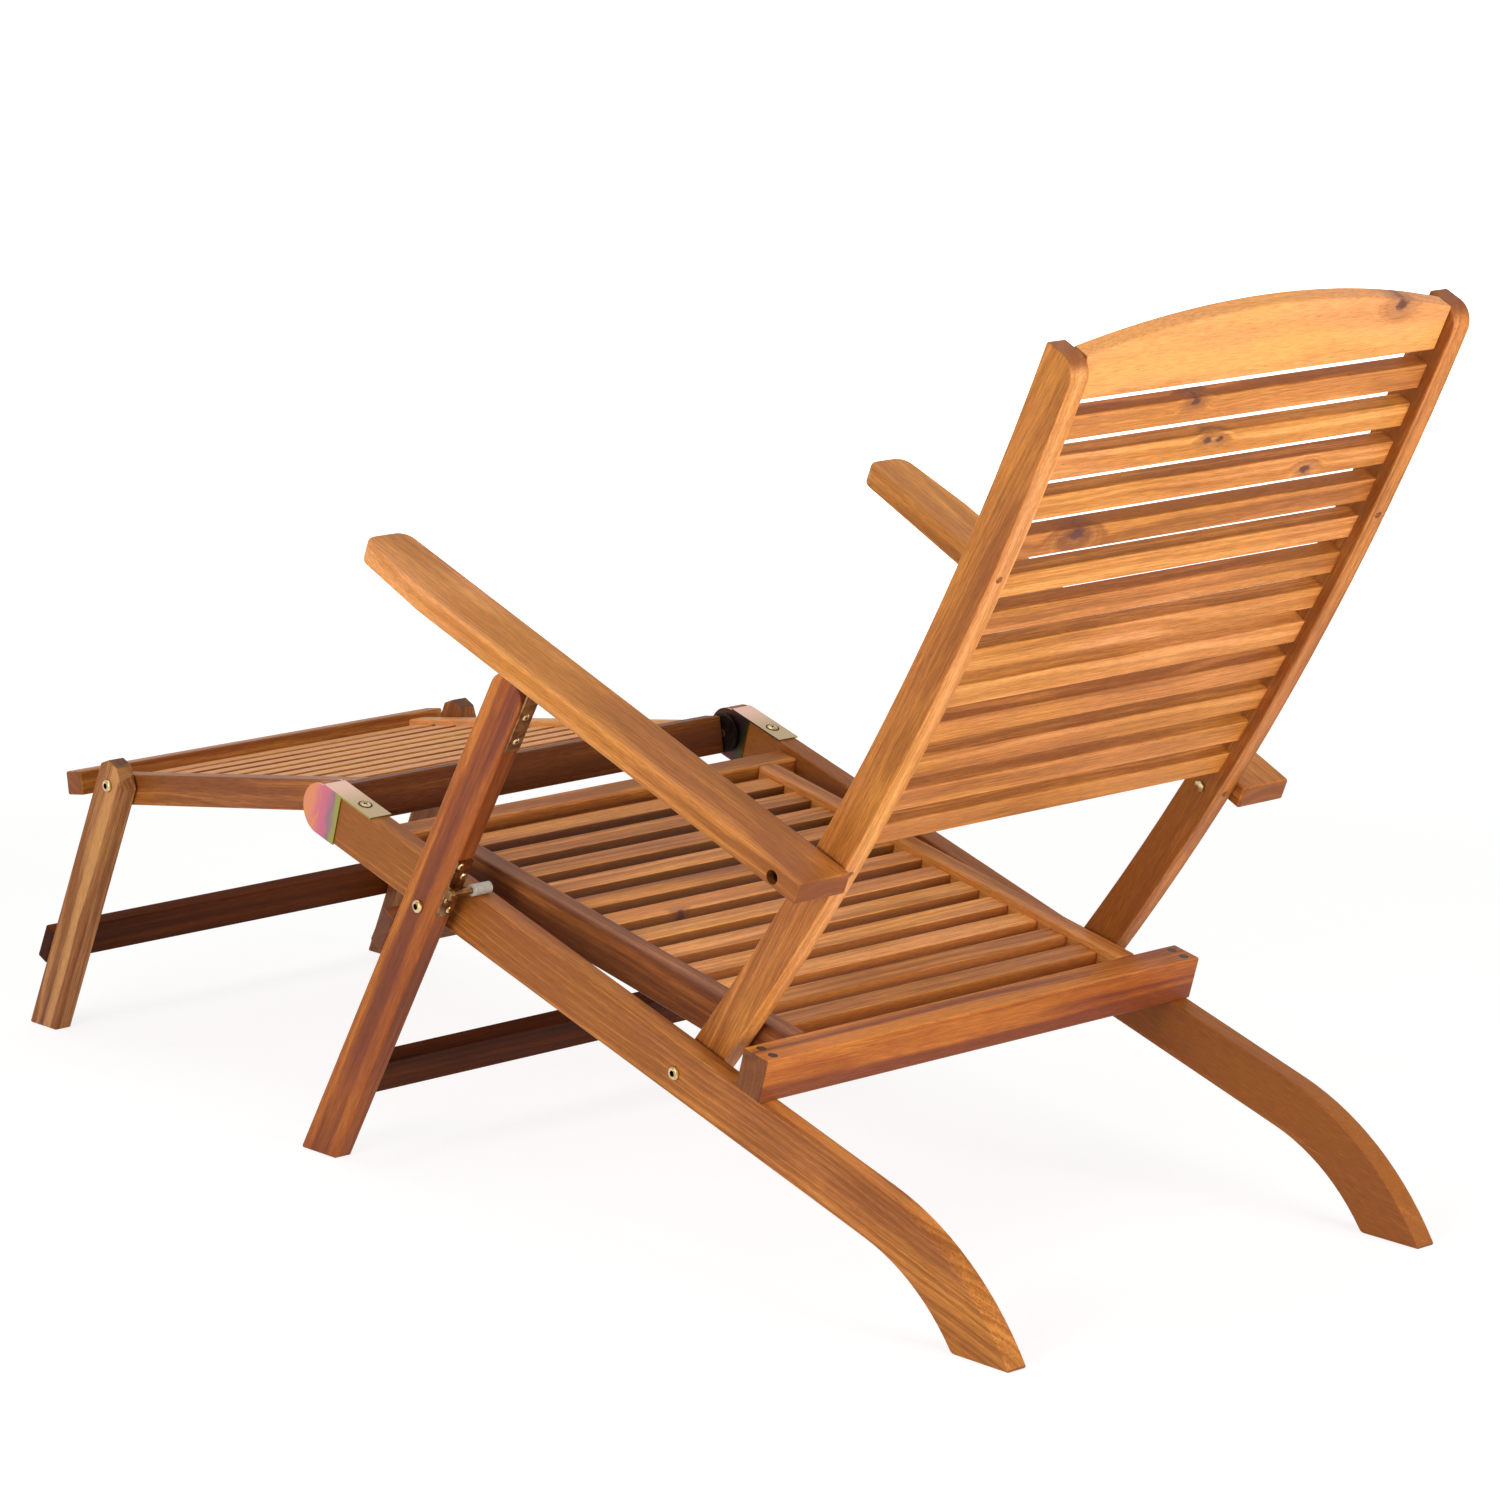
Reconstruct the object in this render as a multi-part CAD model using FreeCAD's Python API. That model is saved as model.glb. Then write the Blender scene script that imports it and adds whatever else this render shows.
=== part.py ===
# Steamer deck chair in oiled hardwood: a folding frame on four feet, a slatted seat and back,
# two armrests and a slatted footrest on its own pair of legs.
# Millimetres, Z up. The sitter faces -Y and the left hand is at +X. The origin is on the floor,
# midway along the chair and midway between its two sides.
import FreeCAD, Part
import math
import os

# Widths across the chair, from the middle outwards
RAIL_OUTER_HALF = 270.0
RAIL_THICK = 22.0
STILE_THICK = 22.0
SEAT_SIDE_THICK = 22.0
STILE_RAIL_GAP = 3.0
STILE_SEAT_GAP = 4.0
LEG_GAP = 12.0
LEG_THICK = 20.0
FOOTREST_RAIL_GAP = 38.0
FOOTREST_SIDE_THICK = 22.0
FOOTREST_LEG_GAP = 2.0
FOOTREST_LEG_THICK = 20.0

# Long side rails: straight, then bent down to a flat foot
RAIL_SLOPE = 16.5
RAIL_DEPTH = 50.0
HINGE_Y = -212.5
HINGE_HEIGHT = 326.0
RAIL_TOP_STRAIGHT = 795.0
RAIL_TOP_BEND = 283.0
RAIL_BOTTOM_STRAIGHT = 792.0
RAIL_BOTTOM_BEND = 201.5
RAIL_TOE_ROUND = 7.0
RAIL_BEND_TURN = 75.0

# Front legs
LEG_PIVOT_ALONG = 194.0
LEG_ANGLE = 59.84
LEG_WIDTH = 45.0
LEG_ABOVE_PIVOT = 269.0
LEG_TOP_ROUND = 18.0
UPPER_BAR_WIDTH = 39.5
UPPER_BAR_THICK = 18.0
UPPER_BAR_BELOW_PIVOT = 36.5
LOWER_BAR_WIDTH = 40.0
LOWER_BAR_THICK = 18.0
LOWER_BAR_BELOW_PIVOT = 196.0

# Backrest
BACK_PIVOT_ALONG = 529.0
BACK_PIVOT_DROP = 3.0
STILE_ANGLE = 49.4
STILE_CURVE = 3000.0
STILE_WIDTH = 38.5
STILE_LENGTH = 823.0
STILE_TOP_ROUND = 20.0
STILE_PLUG_SHARES = (0.34, 0.543, 0.742)
STILE_PLUG_RADIUS = 3.5
STILE_PLUG_SINK = 0.05
CREST_THICK = 18.0
CREST_END_HEIGHT = 43.5
CREST_RISE = 27.0
CREST_INSET = 10.0
BACK_SLAT_COUNT = 12
BACK_SLAT_WIDTH = 25.0
BACK_SLAT_THICK = 16.2
BACK_SLATS_ABOVE_ARM_BOLT = 25.5
BACK_SLAT_INSET = 11.0
BACK_SLAT_EDGE = 1.5

# Armrests
ARM_PIVOT_UP_STILE = 273.5
ARM_PIVOT_ABOVE_UNDERSIDE = 9.5
ARM_THICK = 22.0
ARM_WIDTH = 60.0
ARM_SPLAY = 4.1
ARM_FRONT_LENGTH = 566.0
ARM_REAR_LENGTH = 31.0
ARM_TAPER_LENGTH = 95.0
ARM_TAPER = 9.0
ARM_CORNER_ROUND = 15.0
ARM_EDGE = 3.0
ARM_STILE_GAP = 0.6

# Seat
SEAT_SLOPE = 11.3
SEAT_FRONT_HEIGHT = 18.0
SEAT_SIDE_DEPTH = 42.0
SEAT_SIDE_HOLLOW = 3.0
PLANK_START = 76.0
PLANK_WIDTH = 25.0
PLANK_THICK = 22.0
SEAT_SLAT_COUNT = 12
SEAT_SLAT_WIDTH = 25.0
SEAT_SLAT_THICK = 15.0
SEAT_SLAT_GAP = 15.0
SEAT_SLAT_INSET = 6.0
REAR_RAIL_ALONG = 606.0
REAR_RAIL_THICK = 33.0
REAR_RAIL_OVERHANG = 2.0
REAR_RAIL_PLUG_SHARES = (0.27, 0.73)

# Footrest
FOOTREST_SLOPE = 8.7
FOOTREST_LENGTH = 468.0
FOOTREST_ABOVE_HINGE = 18.0
FOOTREST_REAR_RAIL_THICK = 23.0
FOOTREST_REAR_RAIL_HEIGHT = 38.0
FOOTREST_HINGE_GAP = 8.0
FOOTREST_FRONT_RAIL_THICK = 25.0
FOOTREST_FRONT_RAIL_HEIGHT = 24.0
FOOTREST_FRONT_RAIL_OVERHANG = 3.0
FOOTREST_FRONT_RAIL_RISE = 6.0
FOOTREST_SIDE_DEPTH = 31.0
FOOTREST_SLAT_COUNT = 10
FOOTREST_SLAT_WIDTH = 25.0
FOOTREST_SLAT_THICK = 15.0
FOOTREST_SLAT_INSET = 5.0
FOOTREST_BOLT_ALONG = 400.0
FOOTREST_BOLT_BELOW_TOP = 8.0
FOOTREST_LEG_ANGLE = 65.4
FOOTREST_LEG_WIDTH = 41.0
FOOTREST_LEG_ABOVE_BOLT = 24.0
FOOTREST_LEG_FRONT_CHAMFER = 10.0
FOOTREST_LEG_REAR_CHAMFER = 17.0
FOOTREST_BAR_WIDTH = 39.0
FOOTREST_BAR_THICK = 15.0
FOOTREST_BAR_BELOW_BOLT = 198.0

# Hinge caps and hinge discs, in sheet metal
SHEET = 1.6
CAP_STRAP_LENGTH = 73.0
CAP_CHEEK_LENGTH = 27.0
CAP_SCREW_ALONG = 48.5
DISC_THICK = 2.4
DISC_RADIUS = 20.0
HINGE_PIN_RADIUS = 4.0
HINGE_PIN_DEPTH = 14.0

# Stop plate, pin and sleeve on each front leg
STOP_PLATE_LENGTH = 67.5
STOP_PLATE_WIDTH = 18.0
STOP_PLATE_START = 6.5
STOP_PIN_RADIUS = 3.0
STOP_PIN_BEHIND_PIVOT = 37.8
STOP_SLEEVE_RADIUS = 5.6
STOP_PIN_OVER_RAIL = 15.0
STOP_GAP = 0.4
STOP_LUG_WALL = 2.5
STOP_PIN_HEAD_RADIUS = 5.0
STOP_PIN_HEAD_HEIGHT = 2.5
STOP_SCREW_SHARES = (0.1, 0.3, 0.7, 0.9)
STOP_SCREW_SIDE_SHARE = 0.22

# Leaf hinges between the front legs and the armrests
LEAF_THICK = 2.0
LEAF_WIDTH = 16.0
LEAF_LENGTH = 83.0
KNUCKLE_RADIUS = 3.8
KNUCKLE_ALONG = 287.7
ARM_LEAF_LENGTH = 70.0
ARM_LEAF_START = 9.0
KNUCKLE_ARM_GAP = 0.5
LEG_LEAF_SCREW_SHARES = (0.14, 0.48)
ARM_LEAF_SCREW_SHARES = (0.3, 0.8)

# Bolts and screws
BOLT_RADIUS = 3.5
BOLT_HEAD_RADIUS = 6.5
BOLT_HEAD_HEIGHT = 3.6
BOLT_DOME = 2.9
NUT_RADIUS = 6.0
NUT_HEIGHT = 3.0
SPACER_RADIUS = 9.0
SCREW_RADIUS = 2.0
SCREW_HEAD_RADIUS = 3.6
SCREW_HEAD_TOP_RADIUS = 2.2
SCREW_HEAD_HEIGHT = 1.2
CAP_SCREW_HEAD_RADIUS = 6.0
CAP_SCREW_HEAD_TOP_RADIUS = 5.0
SCREW_LENGTH = 12.0
PLUG_RADIUS = 4.5
PLUG_DEPTH = 10.0
ARM_BOLT_SINK = 6.0

# Clearances and edges
TURN_GAP = 0.3
PIN_GAP = 0.06
BOARD_EDGE = 2.0
SLAT_EDGE = 1.5
BOARD_EDGE_SHARE = 0.2
ROUND_SHARE = 0.8

# Places across the chair that follow from the widths
RAIL_INNER = RAIL_OUTER_HALF - RAIL_THICK
RAIL_MIDDLE = RAIL_OUTER_HALF - RAIL_THICK / 2
STILE_OUTER = RAIL_INNER - STILE_RAIL_GAP
STILE_INNER = STILE_OUTER - STILE_THICK
SEAT_SIDE_OUTER = STILE_INNER - STILE_SEAT_GAP
SEAT_SIDE_INNER = SEAT_SIDE_OUTER - SEAT_SIDE_THICK
LEG_INNER = RAIL_OUTER_HALF + LEG_GAP
LEG_OUTER = LEG_INNER + LEG_THICK
LEG_MIDDLE = LEG_INNER + LEG_THICK / 2
FOOTREST_SIDE_OUTER = RAIL_INNER - FOOTREST_RAIL_GAP
FOOTREST_SIDE_INNER = FOOTREST_SIDE_OUTER - FOOTREST_SIDE_THICK
FOOTREST_LEG_INNER = FOOTREST_SIDE_OUTER + FOOTREST_LEG_GAP
FOOTREST_LEG_OUTER = FOOTREST_LEG_INNER + FOOTREST_LEG_THICK
FOOTREST_FRONT_RAIL_HALF = FOOTREST_LEG_OUTER + FOOTREST_FRONT_RAIL_OVERHANG
FOOTREST_REAR_RAIL_HALF = RAIL_INNER - FOOTREST_HINGE_GAP

# The back's slats share the length between the armrest's bolt and the crest
BACK_SLAT_ROOM = STILE_LENGTH - CREST_END_HEIGHT - ARM_PIVOT_UP_STILE - BACK_SLATS_ABOVE_ARM_BOLT
BACK_SLAT_GAP = BACK_SLAT_ROOM / BACK_SLAT_COUNT - BACK_SLAT_WIDTH


# A side-view frame: u runs along its angle, v to the left of it, both in the Y-Z plane
class SideFrame:
    def __init__(self, y, z, angle):
        self.y = y
        self.z = z
        self.angle = angle
        self.cos = math.cos(math.radians(angle))
        self.sin = math.sin(math.radians(angle))

    def at(self, u, v=0.0):
        return (self.y + u * self.cos - v * self.sin, self.z + u * self.sin + v * self.cos)

    def local(self, point):
        dy = point[0] - self.y
        dz = point[1] - self.z
        return (dy * self.cos + dz * self.sin, dz * self.cos - dy * self.sin)

    def point(self, x, u, v=0.0):
        y, z = self.at(u, v)
        return FreeCAD.Vector(x, y, z)

    def along(self):
        return FreeCAD.Vector(0, self.cos, self.sin)

    def across(self):
        return FreeCAD.Vector(0, -self.sin, self.cos)


# The side frames of the chair
RAIL = SideFrame(HINGE_Y, HINGE_HEIGHT, -RAIL_SLOPE)
LEG_PIVOT = RAIL.at(LEG_PIVOT_ALONG)
LEG = SideFrame(LEG_PIVOT[0], LEG_PIVOT[1], LEG_ANGLE)
BACK_PIVOT = RAIL.at(BACK_PIVOT_ALONG, -BACK_PIVOT_DROP)
BACK = SideFrame(BACK_PIVOT[0], BACK_PIVOT[1], STILE_ANGLE)


# A point on the curved centre line of the backrest, as a frame whose u points up the back
def back_frame(distance):
    turn = distance / STILE_CURVE
    u = STILE_CURVE * math.sin(turn)
    v = STILE_CURVE * (1.0 - math.cos(turn))
    y, z = BACK.at(u, v)
    return SideFrame(y, z, STILE_ANGLE + math.degrees(turn))


ARM_PIVOT_FRAME = back_frame(ARM_PIVOT_UP_STILE)
ARM_PIVOT = (ARM_PIVOT_FRAME.y, ARM_PIVOT_FRAME.z)
KNUCKLE_ACROSS = -(LEG_WIDTH / 2 + LEAF_THICK)
KNUCKLE = LEG.at(KNUCKLE_ALONG, KNUCKLE_ACROSS)
KNUCKLE_DROP = KNUCKLE_RADIUS + KNUCKLE_ARM_GAP
ARM_REACH = math.hypot(ARM_PIVOT[0] - KNUCKLE[0], ARM_PIVOT[1] - KNUCKLE[1])
ARM_SIGHT = math.degrees(math.atan2(ARM_PIVOT[1] - KNUCKLE[1], ARM_PIVOT[0] - KNUCKLE[0]))
ARM_TILT = math.degrees(math.asin((ARM_PIVOT_ABOVE_UNDERSIDE + KNUCKLE_DROP) / ARM_REACH))
ARM = SideFrame(ARM_PIVOT[0], ARM_PIVOT[1], ARM_SIGHT - ARM_TILT)

# The seat plane goes through the top of the front plank
SEAT_ORIGIN = RAIL.at(PLANK_START + PLANK_WIDTH / 2, SEAT_FRONT_HEIGHT)
SEAT = SideFrame(SEAT_ORIGIN[0], SEAT_ORIGIN[1], -SEAT_SLOPE)

# The footrest's frame: u runs backwards from the hinge line, so its pieces have u below zero
FOOTREST = SideFrame(HINGE_Y, HINGE_HEIGHT, FOOTREST_SLOPE)
FOOTREST_BOLT = FOOTREST.at(-FOOTREST_BOLT_ALONG, FOOTREST_ABOVE_HINGE - FOOTREST_BOLT_BELOW_TOP)
FOOTREST_LEG = SideFrame(FOOTREST_BOLT[0], FOOTREST_BOLT[1], FOOTREST_LEG_ANGLE)


# A flat outline in a side frame, pushed through from x0 to x1
def side_prism(frame, outline, x0, x1):
    points = [frame.point(x0, u, v) for u, v in outline]
    wire = Part.makePolygon(points + [points[0]])
    return Part.Face(wire).extrude(FreeCAD.Vector(x1 - x0, 0, 0))


def side_bar(frame, u0, u1, v0, v1, x0, x1):
    return side_prism(frame, [(u0, v0), (u1, v0), (u1, v1), (u0, v1)], x0, x1)


# A round bar across the chair, from x0 to x1
def cross_round(place, radius, x0, x1):
    base = FreeCAD.Vector(min(x0, x1), place[0], place[1])
    return Part.makeCylinder(radius, abs(x1 - x0), base, FreeCAD.Vector(1, 0, 0))


def mirrored(shape):
    return shape.mirror(FreeCAD.Vector(0, 0, 0), FreeCAD.Vector(1, 0, 0))


# Rounds over every edge of a board
def eased(shape, radius, thickness):
    return shape.makeFillet(min(radius, thickness * BOARD_EDGE_SHARE), shape.Edges)


def edges_along_x(shape):
    chosen = []
    for edge in shape.Edges:
        ends = [vertex.Point for vertex in edge.Vertexes]
        if len(ends) == 2 and abs(abs(ends[1].x - ends[0].x) - edge.Length) < 1e-6:
            chosen.append(edge)
    return chosen


# The edges along X whose middle lies within reach of a place in the side view
def edges_near(shape, place, reach):
    chosen = []
    for edge in edges_along_x(shape):
        start = edge.Vertexes[0].Point
        if math.hypot(start.y - place[0], start.z - place[1]) < reach:
            chosen.append(edge)
    return chosen


# Keeps what lies above the floor
def above_floor(shape):
    box = shape.BoundBox
    margin = 1.0
    size = (box.XLength + 2 * margin, box.YLength + 2 * margin, abs(box.ZMin) + margin)
    corner = FreeCAD.Vector(box.XMin - margin, box.YMin - margin, -size[2])
    return shape.cut(Part.makeBox(size[0], size[1], size[2], corner))


# A domed bolt head with its shank, along X, with the head at x_head pointing outwards
def domed_bolt(place, x_head, x_end):
    head = cross_round(place, BOLT_HEAD_RADIUS, x_head, x_head + BOLT_HEAD_HEIGHT)
    rim = [edge for edge in head.Edges if abs(edge.BoundBox.XMin - x_head - BOLT_HEAD_HEIGHT) < 1e-6]
    head = head.makeFillet(min(BOLT_DOME, BOLT_HEAD_HEIGHT * ROUND_SHARE), rim)
    return head.fuse(cross_round(place, BOLT_RADIUS, x_end, x_head)).removeSplitter()


# A domed bolt that comes out through a nut, whose outer face lies at x_nut
def cross_bolt(place, x_head, x_nut):
    nut = cross_round(place, NUT_RADIUS, x_nut - NUT_HEIGHT, x_nut)
    return domed_bolt(place, x_head, x_nut - NUT_HEIGHT).fuse(nut).removeSplitter()


# A pan-head screw: its head sits on the surface at the base and points along the direction
def screw(base, direction, radius=SCREW_HEAD_RADIUS, top_radius=SCREW_HEAD_TOP_RADIUS):
    head = Part.makeCone(radius, top_radius, SCREW_HEAD_HEIGHT, base, direction)
    shank = Part.makeCylinder(SCREW_RADIUS, SCREW_LENGTH, base - direction * SCREW_LENGTH, direction)
    return head.fuse(shank).removeSplitter()


def screw_hole(base, direction):
    depth = SCREW_LENGTH + PIN_GAP
    return Part.makeCylinder(SCREW_RADIUS + PIN_GAP, 2 * depth, base - direction * depth, direction)


# Hardware places shared by the pieces that they fasten
def cap_screw_base():
    return RAIL.point(RAIL_MIDDLE, CAP_SCREW_ALONG, RAIL_DEPTH / 2 + SHEET)


# The stop pin's sleeve lies on top of the side rail, just behind the leg
def stop_pin_place():
    height = RAIL_DEPTH / 2 + STOP_GAP + STOP_SLEEVE_RADIUS
    return RAIL.at(LEG_PIVOT_ALONG + STOP_PIN_BEHIND_PIVOT, height)


def stop_plate_screw_bases():
    bases = []
    for index, share in enumerate(STOP_SCREW_SHARES):
        along = STOP_PLATE_START + STOP_PLATE_LENGTH * share
        side = STOP_PLATE_WIDTH * (STOP_SCREW_SIDE_SHARE if index % 2 else -STOP_SCREW_SIDE_SHARE)
        x = LEG_MIDDLE + side
        bases.append(LEG.point(x, along, -(LEG_WIDTH / 2 + SHEET)))
    return bases


def leg_leaf_screw_bases():
    x = LEG_MIDDLE
    face = -(LEG_WIDTH / 2 + LEAF_THICK)
    low = KNUCKLE_ALONG - LEAF_LENGTH
    return [LEG.point(x, low + LEAF_LENGTH * share, face) for share in LEG_LEAF_SCREW_SHARES]


def arm_leaf_screw_bases():
    x = LEG_MIDDLE
    u0 = ARM.local(KNUCKLE)[0] + ARM_LEAF_START
    face = -(ARM_PIVOT_ABOVE_UNDERSIDE + LEAF_THICK)
    return [ARM.point(x, u0 + ARM_LEAF_LENGTH * share, face) for share in ARM_LEAF_SCREW_SHARES]


# Long side rail, left side
def side_rail():
    half = RAIL_DEPTH / 2
    turn = math.radians(RAIL_BEND_TURN)

    def bend(start, side, radius, share):
        angle = turn * share
        return (start + radius * math.sin(angle), side * half - radius * (1.0 - math.cos(angle)))

    def spot(u, v):
        return RAIL.point(RAIL_INNER, u, v)

    top_mid = bend(RAIL_TOP_STRAIGHT, 1, RAIL_TOP_BEND, 0.5)
    top_end = bend(RAIL_TOP_STRAIGHT, 1, RAIL_TOP_BEND, 1.0)
    low_mid = bend(RAIL_BOTTOM_STRAIGHT, -1, RAIL_BOTTOM_BEND, 0.5)
    low_end = bend(RAIL_BOTTOM_STRAIGHT, -1, RAIL_BOTTOM_BEND, 1.0)
    edges = [
        Part.Arc(spot(0, -half), spot(-half, 0), spot(0, half)).toShape(),
        Part.makeLine(spot(0, half), spot(RAIL_TOP_STRAIGHT, half)),
        Part.Arc(spot(RAIL_TOP_STRAIGHT, half), spot(*top_mid), spot(*top_end)).toShape(),
        Part.makeLine(spot(*top_end), spot(*low_end)),
        Part.Arc(spot(*low_end), spot(*low_mid), spot(RAIL_BOTTOM_STRAIGHT, -half)).toShape(),
        Part.makeLine(spot(RAIL_BOTTOM_STRAIGHT, -half), spot(0, -half)),
    ]
    face = Part.Face(Part.Wire(edges))
    rail = above_floor(face.extrude(FreeCAD.Vector(RAIL_THICK, 0, 0)))
    sole = [edge for edge in edges_along_x(rail) if abs(edge.BoundBox.ZMax) < 1e-4]
    toe = min(sole, key=lambda edge: edge.BoundBox.YMin)
    rail = rail.makeFillet(RAIL_TOE_ROUND, [toe])
    rail = eased(rail, BOARD_EDGE, RAIL_THICK)
    holes = [
        cross_round(LEG_PIVOT, BOLT_RADIUS + PIN_GAP, RAIL_INNER - 1, RAIL_OUTER_HALF + 1),
        cross_round(BACK_PIVOT, BOLT_RADIUS + PIN_GAP, RAIL_INNER - 1, RAIL_OUTER_HALF + 1),
        cross_round((HINGE_Y, HINGE_HEIGHT), HINGE_PIN_RADIUS + PIN_GAP, RAIL_INNER - 1,
                    RAIL_INNER + HINGE_PIN_DEPTH + PIN_GAP),
        screw_hole(cap_screw_base(), RAIL.across()),
    ]
    return rail.cut(holes)


# Seat
def plank_rear_u():
    return PLANK_WIDTH / 2


def seat_front_plank():
    plank = side_bar(SEAT, -PLANK_WIDTH / 2, PLANK_WIDTH / 2, -PLANK_THICK, 0, -RAIL_INNER, RAIL_INNER)
    return eased(plank, BOARD_EDGE, PLANK_THICK)


# The rear rail stands square on the side rails and its top lies in the seat plane
def seat_rear_rail():
    half = RAIL_OUTER_HALF + REAR_RAIL_OVERHANG
    low = RAIL_DEPTH / 2
    outline = [(REAR_RAIL_ALONG, low), (REAR_RAIL_ALONG + REAR_RAIL_THICK, low)]
    for u in (REAR_RAIL_ALONG + REAR_RAIL_THICK, REAR_RAIL_ALONG):
        outline.append((u, seat_plane_over_rail(u)))
    rail = eased(side_prism(RAIL, outline, -half, half), BOARD_EDGE, REAR_RAIL_THICK)
    return rail.cut(rear_rail_plug_solids(PIN_GAP))


def seat_plane_over_rail(u):
    start = RAIL.local(SEAT.at(0))
    rise = math.tan(math.radians(RAIL_SLOPE - SEAT_SLOPE))
    return start[1] + (u - start[0]) * rise


def rear_rail_plug_solids(gap):
    plugs = []
    for side in (-1, 1):
        for share in REAR_RAIL_PLUG_SHARES:
            u = REAR_RAIL_ALONG + REAR_RAIL_THICK * share
            top = SEAT.local(RAIL.at(u, seat_plane_over_rail(u)))[0]
            base = SEAT.point(side * RAIL_MIDDLE, top, -PLUG_DEPTH - gap)
            plugs.append(Part.makeCylinder(PLUG_RADIUS + gap, PLUG_DEPTH + gap, base, SEAT.across()))
    return plugs


# Side board of the seat, left side, with a slightly hollow lower edge. Its rear end follows
# the front face of the rear rail
def seat_side():
    u0 = plank_rear_u()
    top_rear = SEAT.local(RAIL.at(REAR_RAIL_ALONG, seat_plane_over_rail(REAR_RAIL_ALONG)))[0]
    lean = math.tan(math.radians(RAIL_SLOPE - SEAT_SLOPE))
    low_rear = top_rear - lean * SEAT_SIDE_DEPTH
    middle = (u0 + low_rear) / 2

    def spot(u, v):
        return SEAT.point(SEAT_SIDE_INNER, u, v)

    low = -SEAT_SIDE_DEPTH
    edges = [
        Part.makeLine(spot(u0, low), spot(u0, 0)),
        Part.makeLine(spot(u0, 0), spot(top_rear, 0)),
        Part.makeLine(spot(top_rear, 0), spot(low_rear, low)),
        Part.Arc(spot(low_rear, low), spot(middle, low + SEAT_SIDE_HOLLOW), spot(u0, low)).toShape(),
    ]
    face = Part.Face(Part.Wire(edges))
    return eased(face.extrude(FreeCAD.Vector(SEAT_SIDE_THICK, 0, 0)), BOARD_EDGE, SEAT_SIDE_THICK)


def seat_slats():
    slats = []
    u = plank_rear_u()
    for index in range(SEAT_SLAT_COUNT):
        u += SEAT_SLAT_GAP
        top = -SEAT_SLAT_INSET
        slat = side_bar(SEAT, u, u + SEAT_SLAT_WIDTH, top - SEAT_SLAT_THICK, top,
                        -SEAT_SIDE_INNER, SEAT_SIDE_INNER)
        slats.append(eased(slat, SLAT_EDGE, SEAT_SLAT_THICK))
        u += SEAT_SLAT_WIDTH
    return Part.makeCompound(slats)


# Metal cap over the front end of a side rail, left side: an outer cheek, a strap on top
# and an inner cheek that carries the hinge pin
def hinge_cap():
    half = RAIL_DEPTH / 2
    reach = half + SHEET
    outer = RAIL_OUTER_HALF + SHEET
    inner = RAIL_INNER - SHEET
    cap = side_bar(RAIL, 0, CAP_STRAP_LENGTH, half, reach, inner, outer)
    for x0, x1 in ((RAIL_OUTER_HALF, outer), (inner, RAIL_INNER)):
        cheek = cross_round((HINGE_Y, HINGE_HEIGHT), half, x0, x1)
        cap = cap.fuse([cheek, side_bar(RAIL, 0, CAP_CHEEK_LENGTH, -half, reach, x0, x1)])
    cap = cap.removeSplitter()
    holes = [
        cross_round((HINGE_Y, HINGE_HEIGHT), HINGE_PIN_RADIUS + PIN_GAP, inner - 1, RAIL_INNER + 1),
        screw_hole(cap_screw_base(), RAIL.across()),
    ]
    return cap.cut(holes)


# The pin is fixed in the rail and ends flush with the inner face of the footrest's disc
def hinge_pin():
    return cross_round((HINGE_Y, HINGE_HEIGHT), HINGE_PIN_RADIUS, FOOTREST_REAR_RAIL_HALF + TURN_GAP,
                       RAIL_INNER + HINGE_PIN_DEPTH)


def leg_pivot_bolt():
    return cross_bolt(LEG_PIVOT, LEG_OUTER + TURN_GAP, RAIL_INNER)


def leg_pivot_spacer():
    tube = cross_round(LEG_PIVOT, SPACER_RADIUS, RAIL_OUTER_HALF, LEG_INNER - TURN_GAP)
    return tube.cut(cross_round(LEG_PIVOT, BOLT_RADIUS + PIN_GAP, RAIL_OUTER_HALF - 1, LEG_INNER))


def back_pivot_bolt():
    return cross_bolt(BACK_PIVOT, RAIL_OUTER_HALF, STILE_INNER - TURN_GAP)


def back_pivot_washer():
    tube = cross_round(BACK_PIVOT, SPACER_RADIUS, STILE_OUTER + TURN_GAP, RAIL_INNER)
    return tube.cut(cross_round(BACK_PIVOT, BOLT_RADIUS + PIN_GAP, STILE_OUTER, RAIL_INNER + 1))


# Front leg, left side
def front_leg():
    half = LEG_WIDTH / 2
    foot = -(LEG_PIVOT[1] / LEG.sin + LEG_WIDTH)
    leg = above_floor(side_bar(LEG, foot, LEG_ABOVE_PIVOT, -half, half, LEG_INNER, LEG_OUTER))
    corners = edges_near(leg, LEG.at(LEG_ABOVE_PIVOT, -half), 1.0)
    corners += edges_near(leg, LEG.at(LEG_ABOVE_PIVOT, half), 1.0)
    leg = leg.makeFillet(min(LEG_TOP_ROUND, half * ROUND_SHARE), corners)
    leg = eased(leg, BOARD_EDGE, LEG_THICK)
    holes = [cross_round(LEG_PIVOT, BOLT_RADIUS + PIN_GAP, LEG_INNER - 1, LEG_OUTER + 1)]
    for base in stop_plate_screw_bases() + leg_leaf_screw_bases():
        holes.append(screw_hole(base, LEG.across() * -1))
    return leg.cut(holes)


# The upper bar lies on the front faces of the legs and bears up against the side rails
def front_leg_upper_bar():
    v0 = LEG_WIDTH / 2
    u1 = -UPPER_BAR_BELOW_PIVOT
    bar = side_bar(LEG, u1 - UPPER_BAR_WIDTH, u1, v0, v0 + UPPER_BAR_THICK, -LEG_OUTER, LEG_OUTER)
    return eased(bar, BOARD_EDGE, UPPER_BAR_THICK)


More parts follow.
